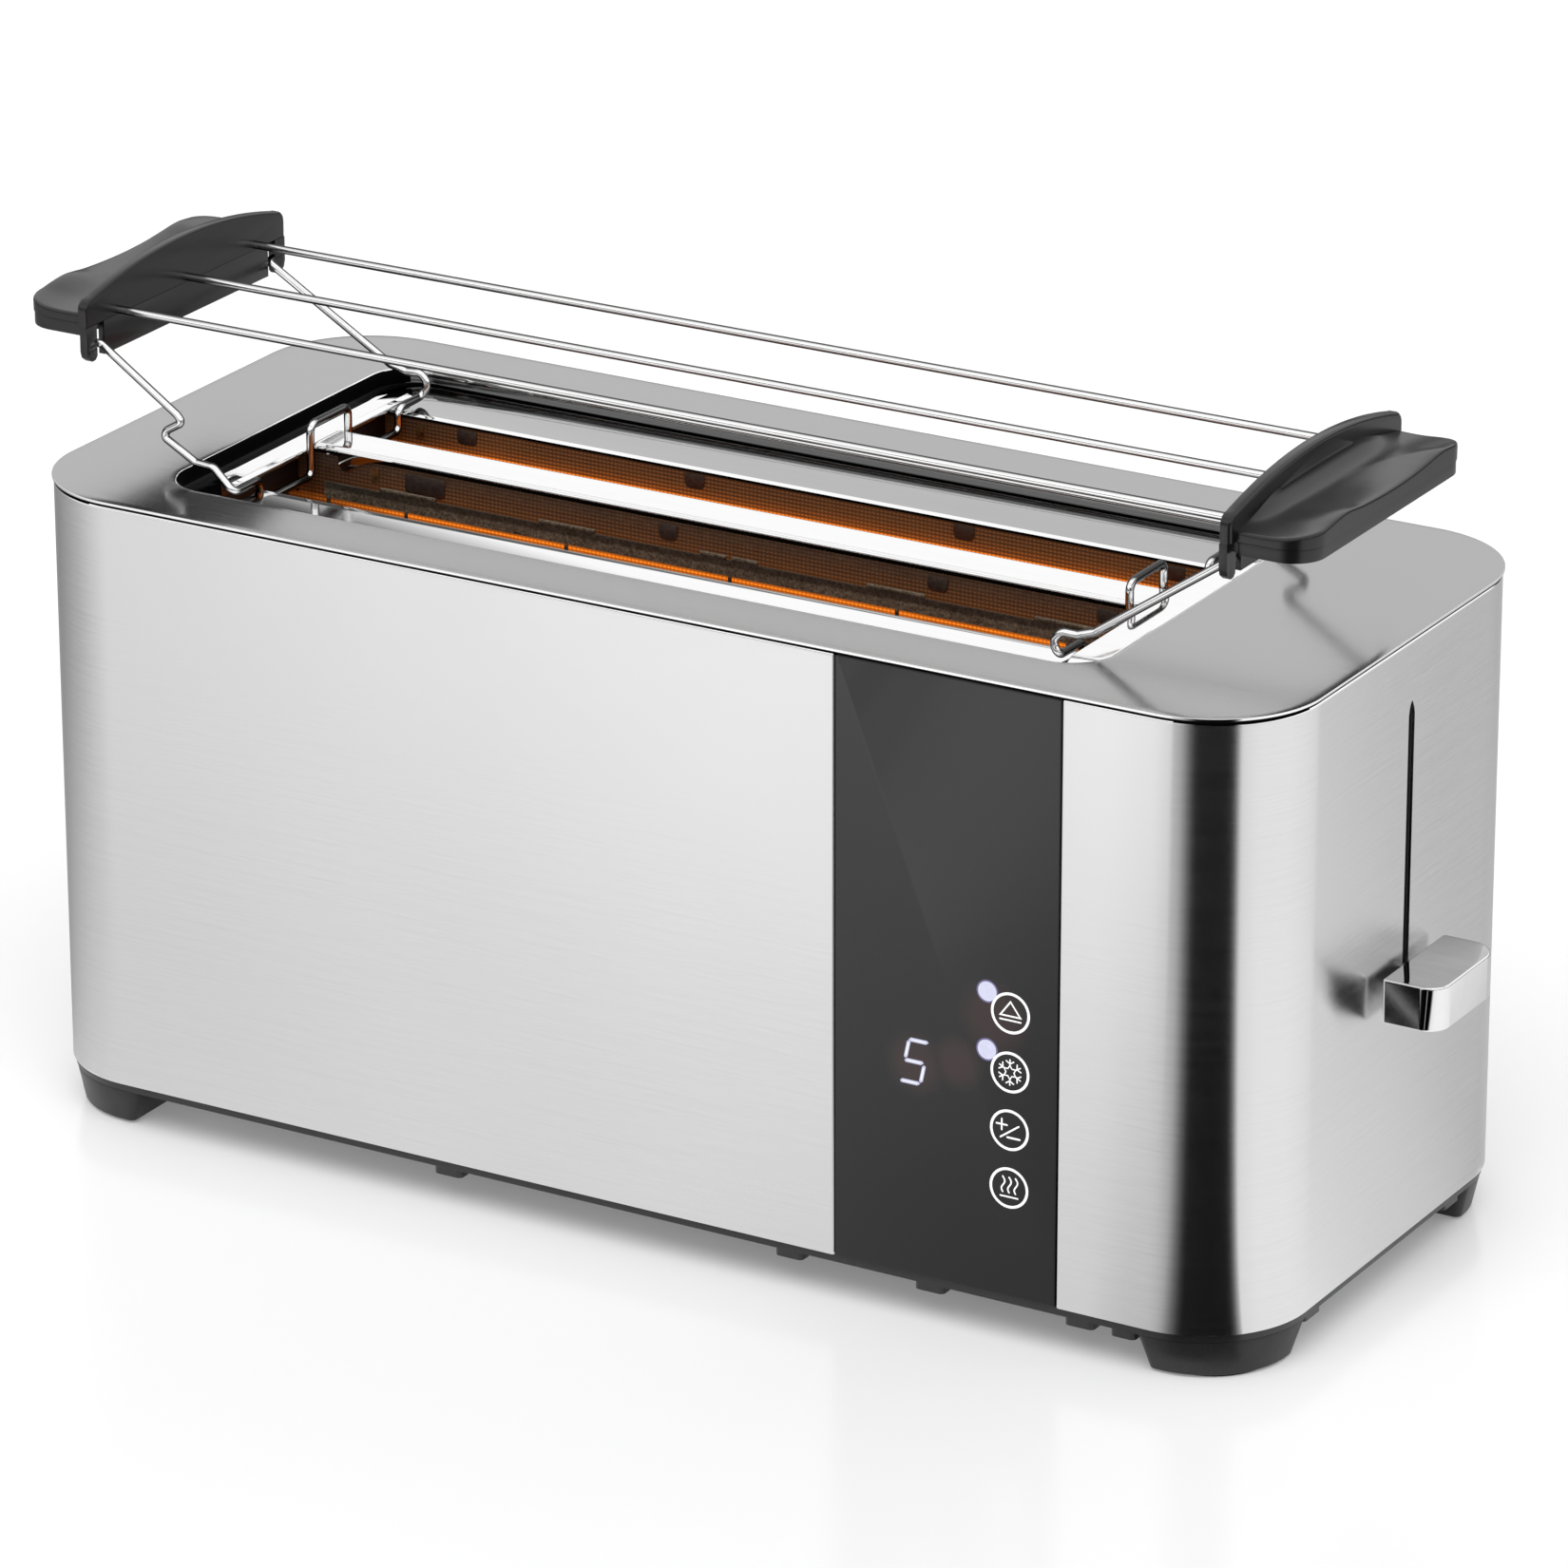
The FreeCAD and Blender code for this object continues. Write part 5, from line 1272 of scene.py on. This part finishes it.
# ------------------------------------------------------------------ mouldings and sheet parts with their edges broken
refine("base_moulding", "body", "black", 0.22, 2)
refine("feet", "body", "foot", 0.5, 3)
refine("foot_pads", "body", "rubber", 0.25, 2)
refine("crumb_tray", "tray", "zinc", 0.22, 2)
refine("cord_gland", "body", "black", 0.3, 3)
refine("lever_slot_guide", "body", "black", 0.2, 2)
refine("lever_arm", "carriage", "zinc", 0.25, 2)
refine("mica_clips", "body", "clip", 0.12, 2)

# ------------------------------------------------------------------ studio
def stage_plane(name, corners, mat):
    me = bpy.data.meshes.new(name)
    me.from_pydata(corners, [], [tuple(range(len(corners)))])
    me.materials.append(mat)
    ob = add_object(name, me)
    return ob


def floor_material():
    m, nt, b = new_mat("floor_paper")
    n = noise(nt, (3, 3, 3), 1.0, 2.0, 0.5)
    nt.links.new(ramp(nt, n, [(0.3, grey(0.66)), (0.7, grey(0.675))]), b.inputs["Base Color"])
    # a lit table: the paper glows a little, which keeps the contact shadow light
    b.inputs["Emission Color"].default_value = (1, 1, 1, 1)
    b.inputs["Emission Strength"].default_value = 0.20
    b.inputs["Roughness"].default_value = 0.16
    b.inputs["IOR"].default_value = 1.33
    return m


stage_plane("studio_floor", [(-9, -9, 0), (9, -9, 0), (9, 9, 0), (-9, 9, 0)], floor_material())

world = bpy.data.worlds.new("studio")
scene.world = world
world.use_nodes = True
wn = world.node_tree
wn.nodes.clear()
wo = wn.nodes.new("ShaderNodeOutputWorld")
bg = wn.nodes.new("ShaderNodeBackground")
tc = wn.nodes.new("ShaderNodeTexCoord")
sp = wn.nodes.new("ShaderNodeSeparateXYZ")
wn.links.new(tc.outputs["Generated"], sp.inputs[0])
rp = wn.nodes.new("ShaderNodeValToRGB")
# by the direction's height: floor level, a dark wall low down, a bright wall above it, a dark ceiling
el = rp.color_ramp.elements
WALL = [(0.0, 1.0), (0.004, 0.07), (0.17, 0.07), (0.25, 1.06), (0.74, 1.12), (0.82, 0.30), (1.0, 0.16)]
el[0].position, el[0].color = 0.0, (WALL[0][1],) * 3 + (1,)
el[1].position, el[1].color = 1.0, (WALL[-1][1],) * 3 + (1,)
for p, c in WALL[1:-1]:
    e = el.new(p)
    e.color = (c, c, c, 1)
wn.links.new(sp.outputs[2], rp.inputs[0])
wn.links.new(rp.outputs[0], bg.inputs[0])
bg.inputs[1].default_value = 1.0
wn.links.new(bg.outputs[0], wo.inputs[0])


def sun(name, direction, strength, angle):
    """A very large, far soft source; it doesn't show in reflections."""
    ld = bpy.data.lights.new(name, "SUN")
    ld.energy, ld.angle = strength, math.radians(angle)
    ob = bpy.data.objects.new(name, ld)
    scene.collection.objects.link(ob)
    ob.rotation_mode = "QUATERNION"
    ob.rotation_quaternion = (-Vector(direction)).to_track_quat("-Z", "Y")
    ob.visible_glossy = False
    return ob


sun("front_soft", (0.30, -0.72, 1.5), 2.0, 50)


def card_material(name):
    """A card seen only in reflections and only from above: emission with nothing on its back."""
    m = bpy.data.materials.new(name)
    m.use_nodes = True
    nt = m.node_tree
    nt.nodes.clear()
    out = nt.nodes.new("ShaderNodeOutputMaterial")
    geo = nt.nodes.new("ShaderNodeNewGeometry")
    em = nt.nodes.new("ShaderNodeEmission")
    tr = nt.nodes.new("ShaderNodeBsdfTransparent")
    mx = nt.nodes.new("ShaderNodeMixShader")
    nt.links.new(geo.outputs["Backfacing"], mx.inputs[0])
    nt.links.new(em.outputs[0], mx.inputs[1])
    nt.links.new(tr.outputs[0], mx.inputs[2])
    nt.links.new(mx.outputs[0], out.inputs[0])
    return m, nt, em


def card(name, verts, faces, mat):
    me = bpy.data.meshes.new(name)
    me.from_pydata(verts, [], faces)
    me.materials.append(mat)
    ob = add_object(name, me)
    ob.visible_camera = ob.visible_diffuse = ob.visible_shadow = ob.visible_transmission = False
    ob.visible_volume_scatter = False
    return ob


AX_X, AX_Y = 0.1678, -0.0518                                   # the front corners' axes
# level over the reflected direction's bearing, degrees from -Y toward +X, round the right front corner
BEARING = [(-31, 1.0), (-28, 0.92), (-23, 0.84), (-12, 0.75), (-6, 0.71), (-2.5, 0.66), (2, 0.52), (5, 0.34), (8, 0.18), (12, 0.05), (15, 0.005), (46, 0.0), (49, 0.06),
           (53, 0.64), (57, 0.90), (75, 1.0)]
# the same toward -X round the left front corner
SIDE = [(30, 1.0), (61, 0.91), (78, 0.81), (90, 0.71), (105, 0.57), (114, 0.49), (128, 0.54), (134, 0.30), (141, 0.04), (150, 0.02)]
# toward -X across the end face, millimetres from its middle
REAR = [(-60, 1.04), (-52, 1.05), (-40, 1.02), (-30, 0.98), (-7, 0.92), (16, 0.885), (40, 0.80), (52, 0.72), (63, 0.68), (130, 0.68), (250, 0.68), (450, 0.62)]
# outward from the front face, millimetres from the middle
AHEAD = [(-3000, 1.30), (-900, 1.30), (-600, 1.28), (-473, 1.165), (-422, 1.045), (-371, 0.943), (-320, 0.888), (-270, 0.843), (-220, 0.82), (-168, 0.81),
         (-84, 0.80)]
# along the front face
ACROSS = [(-606, 0.74), (-368, 0.96), (-277, 1.0), (-180, 1.07), (-93, 1.115), (4, 1.12), (60, 1.07), (101, 1.03), (200, 1.0)]


def level(nt, fac, table, lo, hi):
    stops = [((t - lo) / (hi - lo), grey(min(2.0, v) / 2.0)) for t, v in sorted(table)]
    return math_node(nt, "MULTIPLY", ramp(nt, remap(nt, fac, 0.0, 1.0, lo, hi), stops), 2.0)


def floor_card():
    """Graded card just over the floor: what the steel mirrors below the horizon."""
    m, nt, em = card_material("floor_card")
    x, y = object_axis(nt, 0), object_axis(nt, 1)

    def bearing(cx, sign):
        dx = math_node(nt, "MULTIPLY", math_node(nt, "SUBTRACT", x, cx), sign)
        dy = math_node(nt, "MULTIPLY", math_node(nt, "SUBTRACT", y, AX_Y), -1.0)
        return math_node(nt, "MULTIPLY", math_node(nt, "ARCTAN2", dx, dy), 180 / math.pi)
    right, left = bearing(AX_X, 1.0), bearing(-AX_X, -1.0)
    ahead = level(nt, math_node(nt, "MULTIPLY", y, 1000.0), AHEAD, -3000, -84)
    across = level(nt, math_node(nt, "MULTIPLY", x, 1000.0), ACROSS, -700, 300)
    front = math_node(nt, "MULTIPLY", math_node(nt, "MULTIPLY", ahead, across), level(nt, left, SIDE, -180, 180))
    front = math_node(nt, "MULTIPLY", front, level(nt, right, BEARING, -180, 180))
    # end face: lines parallel to its mirrored view
    back = math_node(nt, "MULTIPLY", math_node(nt, "SUBTRACT", y, math_node(nt, "MULTIPLY", math_node(nt, "SUBTRACT", x, 0.2), 1.707)), 1000.0)
    # the bearing carried on past 180 degrees, round behind the object
    around = math_node(nt, "ADD", right, math_node(nt, "MULTIPLY", math_node(nt, "LESS_THAN", right, -90.0), 360.0))
    rear = math_node(nt, "MULTIPLY", level(nt, back, REAR, -200, 500),
                     level(nt, around, [(49, 0.06), (53, 0.64), (57, 0.90), (75, 1.0), (105, 1.0), (125, 0.95), (140, 0.89), (150, 0.865), (220, 0.86)], -180, 360))
    behind = math_node(nt, "MULTIPLY", math_node(nt, "GREATER_THAN", y, 0.0), math_node(nt, "GREATER_THAN", x, -AX_X))
    use = math_node(nt, "MAXIMUM", math_node(nt, "GREATER_THAN", right, 55.0), behind)
    total = math_node(nt, "ADD", math_node(nt, "MULTIPLY", rear, use),
                      math_node(nt, "MULTIPLY", front, math_node(nt, "SUBTRACT", 1.0, use)))
    nt.links.new(total, em.inputs["Strength"])
    em.inputs["Color"].default_value = (1, 1, 1, 1)
    x0, x1, y0, y1, a, z = -0.206, 0.206, -0.088, 0.088, 3.0, 0.0006
    v = [(-a, -a, z), (a, -a, z), (a, a, z), (-a, a, z), (x0, y0, z), (x1, y0, z), (x1, y1, z), (x0, y1, z)]
    card("floor_card", v, [(0, 1, 5, 4), (1, 2, 6, 5), (2, 3, 7, 6), (3, 0, 4, 7)], m)


floor_card()


def top_card():
    """Soft light overhead: it shows in round wires and rolled edges only."""
    m, nt, em = card_material("top_card")
    x, y = object_axis(nt, 0), object_axis(nt, 1)
    fall = math_node(nt, "MULTIPLY", ramp(nt, remap(nt, math_node(nt, "ABSOLUTE", y), 0.0, 1.0, 0.0, 0.62), [(0.0, grey(1.0)), (0.75, grey(0.95)), (1.0, grey(0.2))]),
                     ramp(nt, remap(nt, math_node(nt, "ABSOLUTE", x), 0.0, 1.0, 0.0, 1.0), [(0.0, grey(1.0)), (0.85, grey(0.95)), (1.0, grey(0.3))]))
    nt.links.new(math_node(nt, "MULTIPLY", fall, 1.15), em.inputs["Strength"])
    em.inputs["Color"].default_value = (1, 1, 1, 1)
    card("top_card", [(-1.0, -0.62, 1.0), (-1.0, 0.62, 1.0), (1.0, 0.62, 1.0), (1.0, -0.62, 1.0)], [(0, 1, 2, 3)], m)


top_card()


def corner_flag(name, axis, a0, a1, reach):
    """A card rising outward at 45 degrees from a corner's foot, over a fan of bearings, black with a soft left edge."""
    m, nt, em = card_material(name)
    x, y = object_axis(nt, 0), object_axis(nt, 1)
    ang = math_node(nt, "MULTIPLY", math_node(nt, "ARCTAN2", math_node(nt, "SUBTRACT", x, axis[0]), math_node(nt, "SUBTRACT", axis[1], y)), 180 / math.pi)
    nt.links.new(level(nt, ang, BEARING, -180, 180), em.inputs["Strength"])
    em.inputs["Color"].default_value = (0.86, 0.86, 0.86, 1)
    cx, cy = axis
    near = 0.034
    pts = []
    n = 16
    for k in range(n + 1):
        a = math.radians(a0 + (a1 - a0) * k / n)
        pts.append((cx + near * math.sin(a), cy - near * math.cos(a), 0.001))
    for k in range(n, -1, -1):
        a = math.radians(a0 + (a1 - a0) * k / n)
        pts.append((cx + reach * math.sin(a), cy - reach * math.cos(a), 0.001 + reach - near))
    q = n + 1
    ob = card(name, pts, [(i, i + 1, 2 * q - 2 - i, 2 * q - 1 - i) for i in range(n)], m)
    # the faces look toward the object
    me = ob.data
    c = Vector((cx, cy, 0.1))
    if me.polygons[0].normal.dot(c - me.polygons[0].center) < 0:
        me.flip_normals()
    return ob


corner_flag("corner_flag_right", (AX_X, AX_Y), -6.0, 53.0, 0.42)

cam_data = bpy.data.cameras.new("camera")
cam = bpy.data.objects.new("camera", cam_data)
scene.collection.objects.link(cam)
scene.camera = cam
cam_data.sensor_width = 36.0
cam_data.lens = 193.245
cam_data.clip_start, cam_data.clip_end = 0.05, 60.0
cam.matrix_world = Matrix((
    (0.8630974, -0.18140794, 0.47133219, 1.13001),
    (0.50503545, 0.31267503, -0.80447096, -1.91950),
    (-0.00143638, 0.93237626, 0.36148645, 0.97522),
    (0, 0, 0, 1)))

scene.view_settings.view_transform = "Standard"
scene.view_settings.look = "None"
